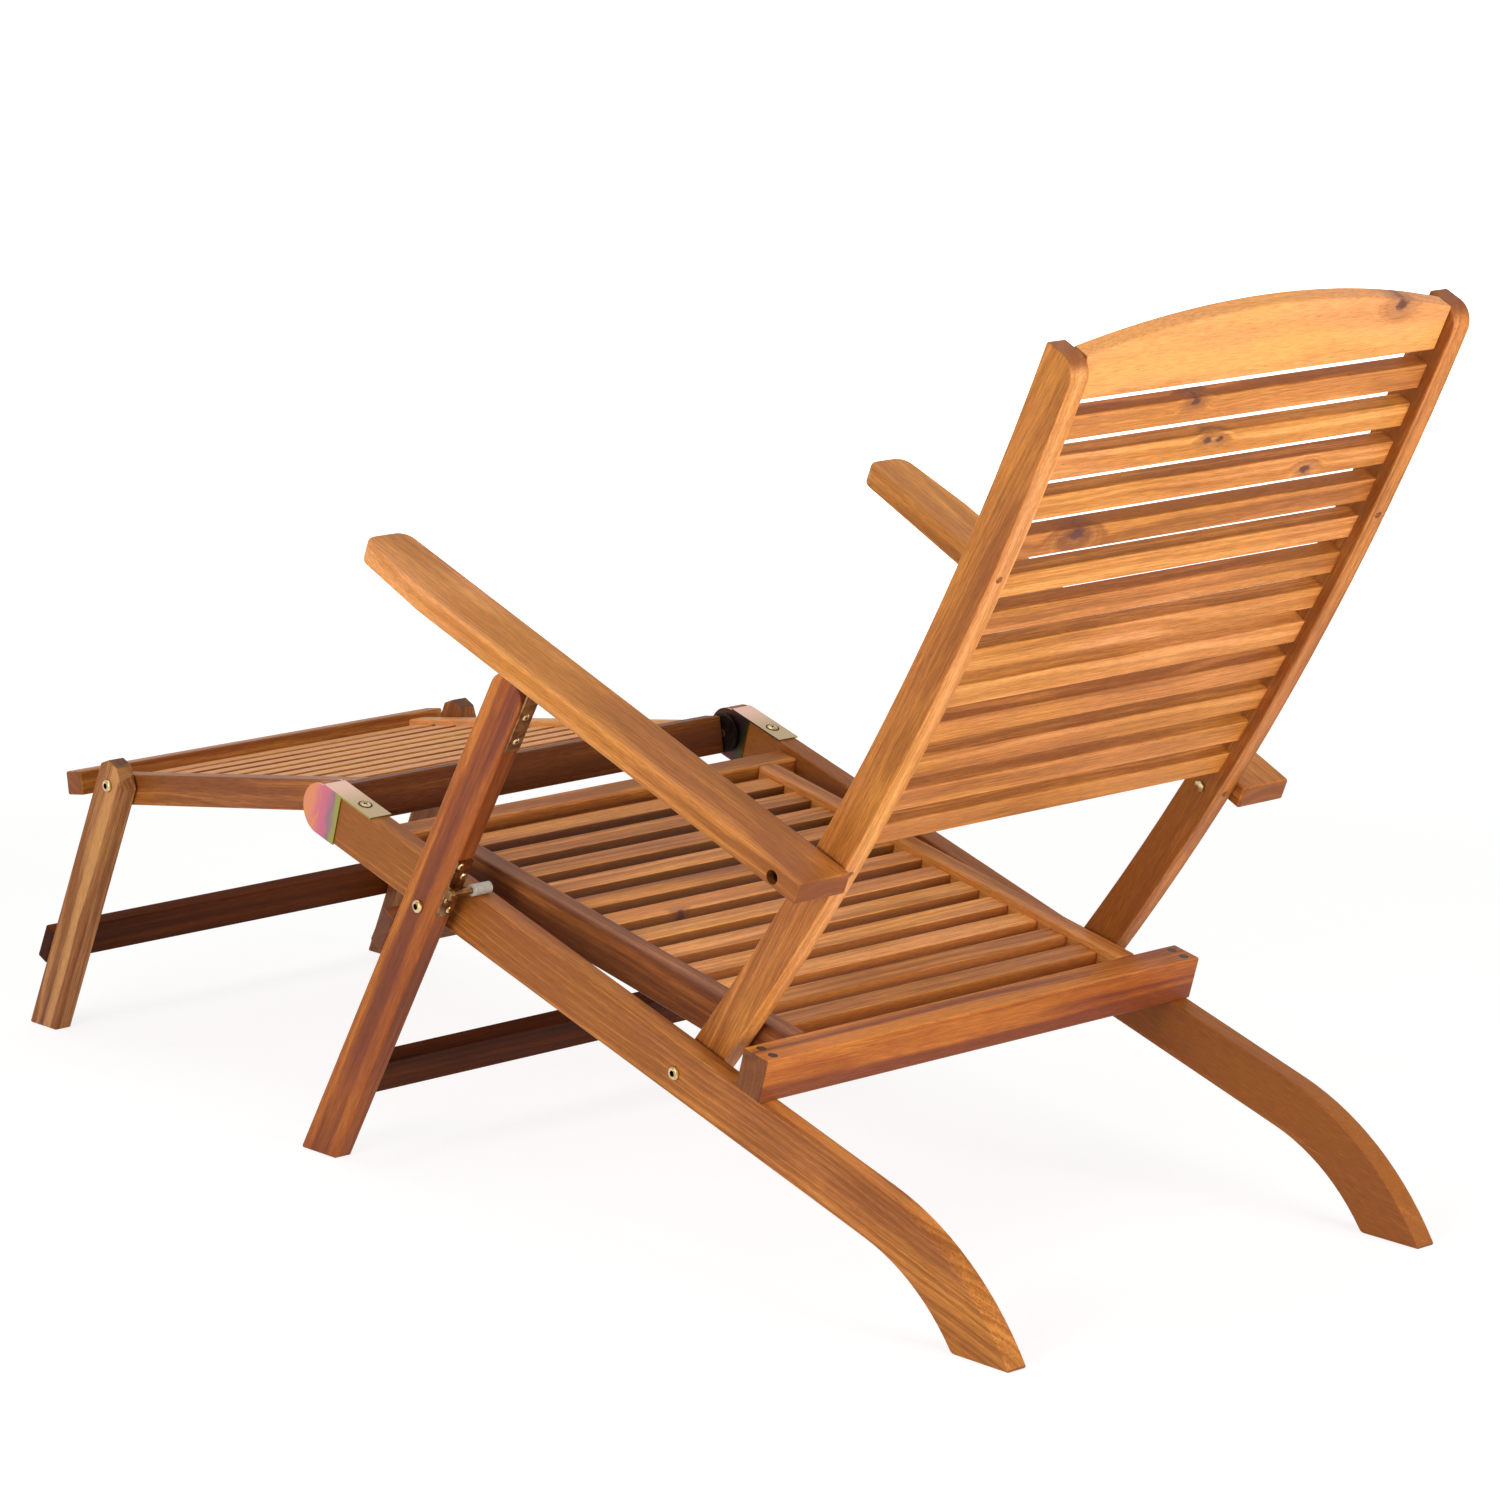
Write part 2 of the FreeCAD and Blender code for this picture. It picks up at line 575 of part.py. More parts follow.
def front_leg_lower_bar():
    v0 = -LOWER_BAR_THICK / 2
    u1 = -LOWER_BAR_BELOW_PIVOT
    bar = side_bar(LEG, u1 - LOWER_BAR_WIDTH, u1, v0, v0 + LOWER_BAR_THICK, -LEG_INNER, LEG_INNER)
    return eased(bar, BOARD_EDGE, LOWER_BAR_THICK)


# A plate on the rear face of the leg, with a lug that holds the stop pin
def stop_plate():
    x0 = LEG_MIDDLE - STOP_PLATE_WIDTH / 2
    x1 = LEG_MIDDLE + STOP_PLATE_WIDTH / 2
    face = -LEG_WIDTH / 2
    plate = side_bar(LEG, STOP_PLATE_START, STOP_PLATE_START + STOP_PLATE_LENGTH, face - SHEET, face, x0, x1)
    pin = stop_pin_place()
    reach = STOP_PIN_RADIUS + STOP_LUG_WALL
    u, v = LEG.local(pin)
    lug = side_bar(LEG, u - reach, u + reach, v, face, x1 - SHEET, x1)
    boss = cross_round(pin, reach, x1 - SHEET, x1)
    plate = plate.fuse([lug, boss]).removeSplitter()
    holes = [cross_round(pin, STOP_PIN_RADIUS + PIN_GAP, x0 - 1, x1 + 1)]
    for base in stop_plate_screw_bases():
        holes.append(screw_hole(base, LEG.across() * -1))
    return plate.cut(holes)


def stop_pin():
    x1 = LEG_MIDDLE + STOP_PLATE_WIDTH / 2
    pin = stop_pin_place()
    rod = cross_round(pin, STOP_PIN_RADIUS, RAIL_OUTER_HALF - STOP_PIN_OVER_RAIL, x1)
    head = cross_round(pin, STOP_PIN_HEAD_RADIUS, x1, x1 + STOP_PIN_HEAD_HEIGHT)
    return rod.fuse(head).removeSplitter()


# A plastic sleeve on the pin, which comes down on top of the side rail
def stop_sleeve():
    pin = stop_pin_place()
    x0 = RAIL_OUTER_HALF - STOP_PIN_OVER_RAIL
    x1 = RAIL_OUTER_HALF + LEG_GAP / 2
    tube = cross_round(pin, STOP_SLEEVE_RADIUS, x0, x1)
    return tube.cut(cross_round(pin, STOP_PIN_RADIUS + PIN_GAP, x0 - 1, x1 + 1))


# Leaf on the rear face of the leg, with the whole knuckle of the hinge
def leg_hinge_leaf():
    x0 = LEG_MIDDLE - LEAF_WIDTH / 2
    x1 = LEG_MIDDLE + LEAF_WIDTH / 2
    face = -LEG_WIDTH / 2
    leaf = side_bar(LEG, KNUCKLE_ALONG - LEAF_LENGTH, KNUCKLE_ALONG, face - LEAF_THICK, face, x0, x1)
    leaf = leaf.fuse(cross_round(KNUCKLE, KNUCKLE_RADIUS, x0, x1)).removeSplitter()
    return leaf.cut([screw_hole(base, LEG.across() * -1) for base in leg_leaf_screw_bases()])


# Leaf under the armrest. It stops short of the knuckle, so that the hinge stays open there
def arm_hinge_leaf():
    u0 = ARM.local(KNUCKLE)[0] + ARM_LEAF_START
    face = -ARM_PIVOT_ABOVE_UNDERSIDE
    leaf = side_bar(ARM, u0, u0 + ARM_LEAF_LENGTH, face - LEAF_THICK, face, LEG_MIDDLE - LEAF_WIDTH / 2,
                    LEG_MIDDLE + LEAF_WIDTH / 2)
    return leaf.cut([screw_hole(base, ARM.across() * -1) for base in arm_leaf_screw_bases()])


# Curved back stile, left side
def back_stile():
    half = STILE_WIDTH / 2

    def spot(distance, v):
        return back_frame(distance).point(STILE_INNER, 0, v)

    middle = STILE_LENGTH / 2
    edges = [
        Part.Arc(spot(0, half), BACK.point(STILE_INNER, -half), spot(0, -half)).toShape(),
        Part.Arc(spot(0, -half), spot(middle, -half), spot(STILE_LENGTH, -half)).toShape(),
        Part.makeLine(spot(STILE_LENGTH, -half), spot(STILE_LENGTH, half)),
        Part.Arc(spot(STILE_LENGTH, half), spot(middle, half), spot(0, half)).toShape(),
    ]
    stile = Part.Face(Part.Wire(edges)).extrude(FreeCAD.Vector(STILE_THICK, 0, 0))
    corner = back_frame(STILE_LENGTH).at(0, -half)
    stile = stile.makeFillet(min(STILE_TOP_ROUND, STILE_WIDTH * ROUND_SHARE), edges_near(stile, corner, 1.0))
    stile = eased(stile, BOARD_EDGE, STILE_THICK)
    holes = [
        cross_round(BACK_PIVOT, BOLT_RADIUS + PIN_GAP, STILE_INNER - 1, STILE_OUTER + 1),
        cross_round(ARM_PIVOT, BOLT_RADIUS + PIN_GAP, STILE_INNER - 1, STILE_OUTER + 1),
    ]
    return stile.cut(holes + stile_plug_solids(PIN_GAP))


# Dowel plugs in the rear face of the stile, left side
def stile_plug_solids(gap):
    plugs = []
    x = (STILE_INNER + STILE_OUTER) / 2
    for share in STILE_PLUG_SHARES:
        frame = back_frame(STILE_LENGTH * share)
        base = frame.point(x, 0, -STILE_WIDTH / 2 + PLUG_DEPTH + gap)
        length = PLUG_DEPTH + gap - STILE_PLUG_SINK
        plugs.append(Part.makeCylinder(STILE_PLUG_RADIUS + gap, length, base, frame.across() * -1))
    return plugs


def back_crest():
    base = STILE_LENGTH - CREST_END_HEIGHT
    frame = back_frame(base + CREST_END_HEIGHT / 2)
    low = -CREST_END_HEIGHT / 2
    top = CREST_END_HEIGHT / 2
    v0 = -STILE_WIDTH / 2 + CREST_INSET

    def spot(x, u):
        return frame.point(x, u, v0)

    half = STILE_INNER
    edges = [
        Part.makeLine(spot(-half, low), spot(half, low)),
        Part.makeLine(spot(half, low), spot(half, top)),
        Part.Arc(spot(half, top), spot(0, top + CREST_RISE), spot(-half, top)).toShape(),
        Part.makeLine(spot(-half, top), spot(-half, low)),
    ]
    crest = Part.Face(Part.Wire(edges)).extrude(frame.across() * CREST_THICK)
    return eased(crest, BOARD_EDGE, CREST_THICK)


def back_slat(index):
    top = STILE_LENGTH - CREST_END_HEIGHT - BACK_SLAT_GAP - index * (BACK_SLAT_WIDTH + BACK_SLAT_GAP)
    frame = back_frame(top - BACK_SLAT_WIDTH / 2)
    v0 = -STILE_WIDTH / 2 + BACK_SLAT_INSET
    half = BACK_SLAT_WIDTH / 2
    slat = side_bar(frame, -half, half, v0, v0 + BACK_SLAT_THICK, -STILE_INNER, STILE_INNER)
    return slat.makeFillet(min(BACK_SLAT_EDGE, BACK_SLAT_THICK * BOARD_EDGE_SHARE), edges_along_x(slat))


# Armrest, left side, seen from above in its own plane: it splays outwards to the front
def armrest():
    slant = math.tan(math.radians(ARM_SPLAY))
    inner_rear = STILE_OUTER + ARM_STILE_GAP
    u_rear = ARM_REAR_LENGTH
    u_front = -ARM_FRONT_LENGTH
    u_taper = u_front + ARM_TAPER_LENGTH

    def inner(u):
        return inner_rear + (u_rear - u) * slant

    outline = [
        (inner(u_rear), u_rear),
        (inner(u_rear) + ARM_WIDTH, u_rear),
        (inner(u_taper) + ARM_WIDTH, u_taper),
        (inner(u_front) + ARM_WIDTH - ARM_TAPER, u_front),
        (inner(u_front), u_front),
    ]
    low = -ARM_PIVOT_ABOVE_UNDERSIDE
    points = [ARM.point(x, u, low) for x, u in outline]
    board = Part.Face(Part.makePolygon(points + [points[0]])).extrude(ARM.across() * ARM_THICK)
    front = [edge for edge in board.Edges if is_arm_front_corner(edge, u_front)]
    board = board.makeFillet(ARM_CORNER_ROUND, front)
    board = eased(board, ARM_EDGE, ARM_THICK)
    sink_x = inner(0) + ARM_WIDTH - ARM_BOLT_SINK
    holes = [
        cross_round(ARM_PIVOT, BOLT_RADIUS + PIN_GAP, STILE_OUTER, sink_x + 1),
        cross_round(ARM_PIVOT, BOLT_HEAD_RADIUS + PIN_GAP, sink_x - BOLT_HEAD_HEIGHT - PIN_GAP,
                    sink_x + ARM_WIDTH),
    ]
    holes += [screw_hole(base, ARM.across() * -1) for base in arm_leaf_screw_bases()]
    return board.cut(holes)


def is_arm_front_corner(edge, u_front):
    ends = [vertex.Point for vertex in edge.Vertexes]
    if len(ends) != 2 or abs(ends[1].x - ends[0].x) > 1e-6:
        return False
    return all(abs(ARM.local((end.y, end.z))[0] - u_front) < 1e-6 for end in ends)


# The armrest's bolt: its head lies sunk in the outer edge and its shank goes through the stile
def arm_bolt():
    slant = math.tan(math.radians(ARM_SPLAY))
    sink_x = STILE_OUTER + ARM_STILE_GAP + ARM_REAR_LENGTH * slant + ARM_WIDTH - ARM_BOLT_SINK
    head = cross_round(ARM_PIVOT, BOLT_HEAD_RADIUS, sink_x - BOLT_HEAD_HEIGHT, sink_x)
    shank = cross_round(ARM_PIVOT, BOLT_RADIUS, STILE_INNER - TURN_GAP - NUT_HEIGHT, sink_x - BOLT_HEAD_HEIGHT)
    nut = cross_round(ARM_PIVOT, NUT_RADIUS, STILE_INNER - TURN_GAP - NUT_HEIGHT, STILE_INNER - TURN_GAP)
    return head.fuse([shank, nut]).removeSplitter()


# Footrest pieces. Along the footrest, u is negative towards its front edge
def footrest_rear_rail():
    top = FOOTREST_ABOVE_HINGE
    half = FOOTREST_REAR_RAIL_HALF
    rail = side_bar(FOOTREST, -FOOTREST_REAR_RAIL_THICK, 0, top - FOOTREST_REAR_RAIL_HEIGHT, top, -half, half)
    return eased(rail, BOARD_EDGE, FOOTREST_REAR_RAIL_THICK)


def footrest_front_rail():
    top = FOOTREST_ABOVE_HINGE + FOOTREST_FRONT_RAIL_RISE
    half = FOOTREST_FRONT_RAIL_HALF
    u0 = -FOOTREST_LENGTH
    rail = side_bar(FOOTREST, u0, u0 + FOOTREST_FRONT_RAIL_THICK, top - FOOTREST_FRONT_RAIL_HEIGHT, top,
                    -half, half)
    return eased(rail, BOARD_EDGE, FOOTREST_FRONT_RAIL_HEIGHT)


def footrest_inner_start():
    return -FOOTREST_LENGTH + FOOTREST_FRONT_RAIL_THICK


def footrest_side():
    top = FOOTREST_ABOVE_HINGE
    side = side_bar(FOOTREST, footrest_inner_start(), -FOOTREST_REAR_RAIL_THICK, top - FOOTREST_SIDE_DEPTH,
                    top, FOOTREST_SIDE_INNER, FOOTREST_SIDE_OUTER)
    side = eased(side, BOARD_EDGE, FOOTREST_SIDE_THICK)
    hole = cross_round(FOOTREST_BOLT, BOLT_RADIUS + PIN_GAP, FOOTREST_SIDE_INNER - 1, FOOTREST_SIDE_OUTER + 1)
    return side.cut(hole)


# The slats share the length between the two rails, with equal gaps
def footrest_slats():
    room = -FOOTREST_REAR_RAIL_THICK - footrest_inner_start()
    gap = (room - FOOTREST_SLAT_COUNT * FOOTREST_SLAT_WIDTH) / (FOOTREST_SLAT_COUNT + 1)
    top = FOOTREST_ABOVE_HINGE - FOOTREST_SLAT_INSET
    slats = []
    for index in range(FOOTREST_SLAT_COUNT):
        u = footrest_inner_start() + gap + index * (FOOTREST_SLAT_WIDTH + gap)
        slat = side_bar(FOOTREST, u, u + FOOTREST_SLAT_WIDTH, top - FOOTREST_SLAT_THICK, top,
                        -FOOTREST_SIDE_INNER, FOOTREST_SIDE_INNER)
        slats.append(eased(slat, SLAT_EDGE, FOOTREST_SLAT_THICK))
    return Part.makeCompound(slats)


# A disc on the end of the footrest's rear rail, which turns on the hinge pin
def footrest_disc():
    x0 = FOOTREST_REAR_RAIL_HALF
    disc = cross_round((HINGE_Y, HINGE_HEIGHT), DISC_RADIUS, x0, x0 + DISC_THICK)
    return disc.cut(cross_round((HINGE_Y, HINGE_HEIGHT), HINGE_PIN_RADIUS + PIN_GAP, x0 - 1, x0 + DISC_THICK + 1))


def footrest_leg():
    half = FOOTREST_LEG_WIDTH / 2
    foot = -(FOOTREST_BOLT[1] / FOOTREST_LEG.sin + FOOTREST_LEG_WIDTH)
    top = FOOTREST_LEG_ABOVE_BOLT
    front = FOOTREST_LEG_FRONT_CHAMFER
    rear = FOOTREST_LEG_REAR_CHAMFER
    outline = [(foot, -half), (top - rear, -half), (top, -half + rear), (top, half - front), (top - front, half),
               (foot, half)]
    leg = above_floor(side_prism(FOOTREST_LEG, outline, FOOTREST_LEG_INNER, FOOTREST_LEG_OUTER))
    leg = eased(leg, BOARD_EDGE, FOOTREST_LEG_THICK)
    hole = cross_round(FOOTREST_BOLT, BOLT_RADIUS + PIN_GAP, FOOTREST_LEG_INNER - 1, FOOTREST_LEG_OUTER + 1)
    return leg.cut(hole)


def footrest_leg_bar():
    v0 = FOOTREST_LEG_WIDTH / 2
    u1 = -FOOTREST_BAR_BELOW_BOLT
    bar = side_bar(FOOTREST_LEG, u1 - FOOTREST_BAR_WIDTH, u1, v0, v0 + FOOTREST_BAR_THICK,
                   -FOOTREST_LEG_OUTER, FOOTREST_LEG_OUTER)
    return eased(bar, BOARD_EDGE, FOOTREST_BAR_THICK)


def footrest_leg_bolt():
    return domed_bolt(FOOTREST_BOLT, FOOTREST_LEG_OUTER + TURN_GAP, FOOTREST_SIDE_INNER)


# Both sides of the chair, for the small parts that share a node
def pair(shape):
    return Part.makeCompound([shape, mirrored(shape)])


def both_sides(parts, name, shape):
    parts[name + "_left"] = shape
    parts[name + "_right"] = mirrored(shape)


def group(shapes):
    return Part.makeCompound(shapes + [mirrored(shape) for shape in shapes])


# Every piece of the chair, by the name of its node
def build():
    parts = {}
    both_sides(parts, "side_rail", side_rail())
    both_sides(parts, "seat_side", seat_side())
    parts["seat_front_plank"] = seat_front_plank()
    parts["seat_rear_rail"] = seat_rear_rail()
    parts["seat_slats"] = seat_slats()
    parts["seat_rear_rail_plugs"] = Part.makeCompound(rear_rail_plug_solids(0.0))
    both_sides(parts, "hinge_cap", hinge_cap())
    cap_screw = screw(cap_screw_base(), RAIL.across(), CAP_SCREW_HEAD_RADIUS, CAP_SCREW_HEAD_TOP_RADIUS)
    parts["hinge_cap_screws"] = pair(cap_screw)
    parts["hinge_pins"] = pair(hinge_pin())
    parts["leg_pivot_bolts"] = pair(leg_pivot_bolt())
    parts["leg_pivot_spacers"] = pair(leg_pivot_spacer())
    parts["back_pivot_bolts"] = pair(back_pivot_bolt())
    parts["back_pivot_washers"] = pair(back_pivot_washer())
    both_sides(parts, "front_leg", front_leg())
    parts["front_leg_upper_bar"] = front_leg_upper_bar()
    parts["front_leg_lower_bar"] = front_leg_lower_bar()
    parts["stop_plates"] = pair(stop_plate())
    parts["stop_pins"] = pair(stop_pin())
    parts["stop_sleeves"] = pair(stop_sleeve())
    rearwards = LEG.across() * -1
    parts["stop_plate_screws"] = group([screw(base, rearwards) for base in stop_plate_screw_bases()])
    parts["leg_hinge_leaves"] = pair(leg_hinge_leaf())
    parts["leg_hinge_screws"] = group([screw(base, rearwards) for base in leg_leaf_screw_bases()])
    both_sides(parts, "back_stile", back_stile())
    parts["back_crest"] = back_crest()
    for index in range(BACK_SLAT_COUNT):
        parts["back_slat_%02d" % (index + 1)] = back_slat(index)
    parts["back_stile_plugs"] = group(stile_plug_solids(0.0))
    both_sides(parts, "armrest", armrest())
    both_sides(parts, "arm_bolt", arm_bolt())
    both_sides(parts, "arm_hinge_leaf", arm_hinge_leaf())
    arm_screws = [screw(base, ARM.across() * -1) for base in arm_leaf_screw_bases()]
    both_sides(parts, "arm_hinge_screws", Part.makeCompound(arm_screws))
    parts["footrest_rear_rail"] = footrest_rear_rail()
    parts["footrest_front_rail"] = footrest_front_rail()
    both_sides(parts, "footrest_side", footrest_side())
    parts["footrest_slats"] = footrest_slats()
    parts["footrest_discs"] = pair(footrest_disc())
    both_sides(parts, "footrest_leg", footrest_leg())
    parts["footrest_leg_bar"] = footrest_leg_bar()
    parts["footrest_leg_bolts"] = pair(footrest_leg_bolt())
    return parts


os.makedirs("parts", exist_ok=True)
for node, shape in build().items():
    shape.exportStep("parts/%s.step" % node)
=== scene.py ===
import math

import bmesh
import bpy
from bpy.props import FloatProperty, FloatVectorProperty, PointerProperty
from mathutils import Matrix, Quaternion, Vector


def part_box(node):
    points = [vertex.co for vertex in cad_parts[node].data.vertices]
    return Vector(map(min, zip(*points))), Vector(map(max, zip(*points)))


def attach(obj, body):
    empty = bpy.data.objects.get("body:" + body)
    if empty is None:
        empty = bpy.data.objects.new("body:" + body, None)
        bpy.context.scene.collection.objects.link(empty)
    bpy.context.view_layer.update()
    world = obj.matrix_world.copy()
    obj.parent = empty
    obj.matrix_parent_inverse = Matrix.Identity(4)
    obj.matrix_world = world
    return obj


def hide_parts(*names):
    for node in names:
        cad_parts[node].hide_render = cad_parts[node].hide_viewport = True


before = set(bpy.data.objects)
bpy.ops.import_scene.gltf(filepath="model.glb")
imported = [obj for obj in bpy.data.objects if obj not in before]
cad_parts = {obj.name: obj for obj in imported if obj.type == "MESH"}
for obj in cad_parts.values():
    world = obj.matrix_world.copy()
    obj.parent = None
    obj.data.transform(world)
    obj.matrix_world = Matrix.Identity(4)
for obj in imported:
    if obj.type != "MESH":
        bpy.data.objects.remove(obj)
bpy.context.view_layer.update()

bl_info = {
    "name": "Steamer deck chair",
    "version": (1, 0, 0),
    "blender": (4, 5, 0),
    "location": "View3D > Sidebar > Deck chair",
    "description": "Finishes a folding deck chair in oiled timber and plated steel fittings",
    "category": "Object",
}

ACROSS = Vector((1.0, 0.0, 0.0))
# How the boards lie, in degrees
RAIL_SLOPE = -16.5
SEAT_SLOPE = -11.3
LEG_LEAN = 59.84
BACK_LEAN = 49.4
ARM_SLOPE = -22.53
ARM_SPLAY = 4.1
FOOTREST_SLOPE = 8.7
FOOTREST_LEG_LEAN = 65.4
# The backrest's length and the radius of its curve, and where the slats lie
BACK_LENGTH = 0.823
BACK_CURVE = 3.0
SLAT_PITCH = 0.040
FOOTREST_SLAT_PITCH = 0.0404
TOP_SLAT_BELOW_TOP = 0.0711

# Knots as distance along a board, distance across it and radius
BACK_KNOTS = {
    "back_crest": ((-0.1535, 0.0176, 0.0086),),
    "back_slat_01": ((0.0655, 0.0085, 0.0062),),
    "back_slat_02": ((0.0300, 0.0050, 0.0052), (0.0150, 0.0045, 0.0046)),
    "back_slat_03": ((-0.1160, -0.0030, 0.0060),),
    "back_slat_04": ((0.1470, 0.0055, 0.0100),),
}
SEAT_KNOTS = ((0.1121, -0.0092, 0.0045),)
# Sapwood stripes as the distances across a board where they start and end, and their strength
FOOT_LEG_SAPWOOD = (-0.014, -0.004, 0.75)
FRONT_LEG_SAPWOOD = (0.008, 0.030, 0.30)
SAPWOOD_BLEND = 0.004
SAPWOOD_WANDER = 0.008
# How light each back slat is, from the top one down
SLAT_TONES = (0.02, 0.14, 0.06, -0.08, 0.08, -0.06, 0.08, 0.20, 0.0, 0.04, 0.02, -0.04)

# How much the slats of one node differ in balance and in seed
SLAT_VARIETY = 0.44
SLAT_SEEDS = 40.0
# How far a normal points along an axis of the board when its face starts and ends to count
FACING = (0.4, 0.8)
# Where a row of slats starts and ends to change the painted shade on its edges, from its middle towards the
# rear
ROW_PAINTED_SHADE = (-0.10, 0.20)

SENSOR_WIDTH = 36.0
CAMERA_REACH = 60.0
CAMERA_PLACE = (3.4391, 3.8925, 1.5200)
CAMERA_FORWARD = (-0.65553, -0.72403, -0.21463)
CAMERA_ROLL = 0.14
# Each lamp's name, place, the height it looks at over the origin, and its size
LAMPS = (("key", (-0.4, 4.2, 0.95), 0.45, 1.9), ("side", (2.8, 0.6, 1.15), 0.4, 1.6),
         ("top", (0.0, -0.5, 4.2), 0.3, 3.0))
WHITE = (1.0, 1.0, 1.0, 1.0)
FLOOR_SIZE = 60.0
FLOOR_GLOW = 2.2
FLOOR_BOUNCE = (0.82, 0.82, 0.82, 1.0)
# The distances from the origin between which the floor's glow grows, and its least and full share
GLOW_FROM_TO = (1.4, 4.5)
GLOW_SHARE = (0.37, 1.0)


def paint(red, green, blue):
    """A colour written as three 0 to 255 values, turned into Blender's linear values."""
    linear = []
    for value in (red / 255, green / 255, blue / 255):
        linear.append(value / 12.92 if value <= 0.04045 else ((value + 0.055) / 1.055) ** 2.4)
    return (*linear, 1.0)


FLOOR_PAPER = paint(186, 185, 183), paint(192, 191, 190)


def colour(name, description, *rgb):
    """A colour property whose default is written as 0 to 255 values."""
    return FloatVectorProperty(name=name, description=description, subtype="COLOR", size=4, min=0.0, max=1.0,
                               default=paint(*rgb))


class ChairTimber(bpy.types.PropertyGroup):
    """Colours of the boards, and the sizes in their grain"""
    honey_light: colour("Honey light", "Pale wood of the slats, rails and armrests", 240, 166, 98)
    honey_mid: colour("Honey middle", "Main colour of the slats, rails and armrests", 204, 130, 62)
    honey_dark: colour("Honey dark", "Darker rings of the slats, rails and armrests", 156, 91, 36)
    honey_streak: colour("Honey streak", "Heartwood streaks of the slats, rails and armrests", 122, 62, 34)
    russet_light: colour("Russet light", "Pale wood of the front legs", 206, 126, 54)
    russet_mid: colour("Russet middle", "Main colour of the front legs", 168, 90, 35)
    russet_dark: colour("Russet dark", "Darker rings of the front legs", 124, 60, 26)
    russet_streak: colour("Russet streak", "Purplish streaks of the front legs", 116, 54, 34)
    walnut_light: colour("Walnut light", "Sapwood stripe of the footrest's legs", 214, 152, 92)
    walnut_mid: colour("Walnut middle", "Main colour of the footrest's legs", 150, 88, 42)
    walnut_dark: colour("Walnut dark", "Darker rings of the footrest's legs", 112, 62, 34)
    walnut_streak: colour("Walnut streak", "Dark streaks of the footrest's legs", 84, 44, 28)
    dusk_light: colour("Dusk light", "Pale wood of the cross bars", 108, 54, 23)
    dusk_mid: colour("Dusk middle", "Main colour of the cross bars", 80, 37, 15)
    dusk_dark: colour("Dusk dark", "Darker rings of the cross bars", 54, 24, 10)
    dusk_streak: colour("Dusk streak", "Dark streaks of the cross bars", 44, 20, 12)
    plug: colour("Plug", "End grain of the dowels that plug the screw holes", 58, 34, 24)
    knot: colour("Knot", "Heart of a knot", 92, 46, 40)
    ring_spacing: FloatProperty(name="Ring spacing", description="Distance between growth rings",
                                default=0.0075, min=0.001, max=0.03, unit="LENGTH")
    fibre_width: FloatProperty(name="Fibre width", description="Width of the finest streaks in the grain",
                               default=0.0011, min=0.0002, max=0.01, unit="LENGTH")
    relief: FloatProperty(name="Grain relief", description="Depth of the open pores under the oil",
                          default=0.00025, min=0.0, max=0.002, unit="LENGTH")


class ChairFittings(bpy.types.PropertyGroup):
    """Colours and sizes of the metal fittings"""
    gold: colour("Plating gold", "Main colour of the yellow plating", 168, 132, 84)
    pink: colour("Plating pink", "Pink tint in the plating", 190, 104, 124)
    orange: colour("Plating orange", "Orange tint in the plating", 206, 138, 66)
    green: colour("Plating green", "Green tint in the plating", 146, 142, 74)
    screw_steel: colour("Screw steel", "Screws and bolts", 206, 186, 142)
    sleeve: colour("Sleeve", "Plastic sleeve on the stop pin", 200, 190, 178)
    socket_radius: FloatProperty(name="Socket radius", description="Radius of the bolts' six-sided socket",
                                 default=0.0032, min=0.001, max=0.005, unit="LENGTH")
    socket_depth: FloatProperty(name="Socket depth", description="Depth of the bolts' six-sided socket",
                                default=0.003, min=0.001, max=0.006, unit="LENGTH")


class ChairStage(bpy.types.PropertyGroup):
    """Camera, lamps and floor"""
    lens: FloatProperty(name="Lens", description="Focal length on a 36 mm sensor", default=134.57, min=10.0,
                        max=400.0, unit="CAMERA")
    key_power: FloatProperty(name="Key lamp", description="Power of the large lamp behind the chair",
                             default=110.0, min=0.0, max=2000.0, unit="POWER")
    side_power: FloatProperty(name="Side lamp", description="Power of the lamp on the sitter's left",
                              default=41.0, min=0.0, max=2000.0, unit="POWER")
    top_power: FloatProperty(name="Top lamp", description="Power of the lamp overhead", default=38.0, min=0.0,
                             max=2000.0, unit="POWER")
    surround: FloatProperty(name="Surround", description="Strength of the even light all round", default=0.27,
                            min=0.0, max=2.0)


def side_direction(degrees):
    """The direction in the side view that rises by this angle towards the back."""
    angle = math.radians(degrees)
    return Vector((0.0, math.cos(angle), math.sin(angle)))


def side_normal(degrees):
    return side_direction(degrees + 90.0)


# Shader nodes


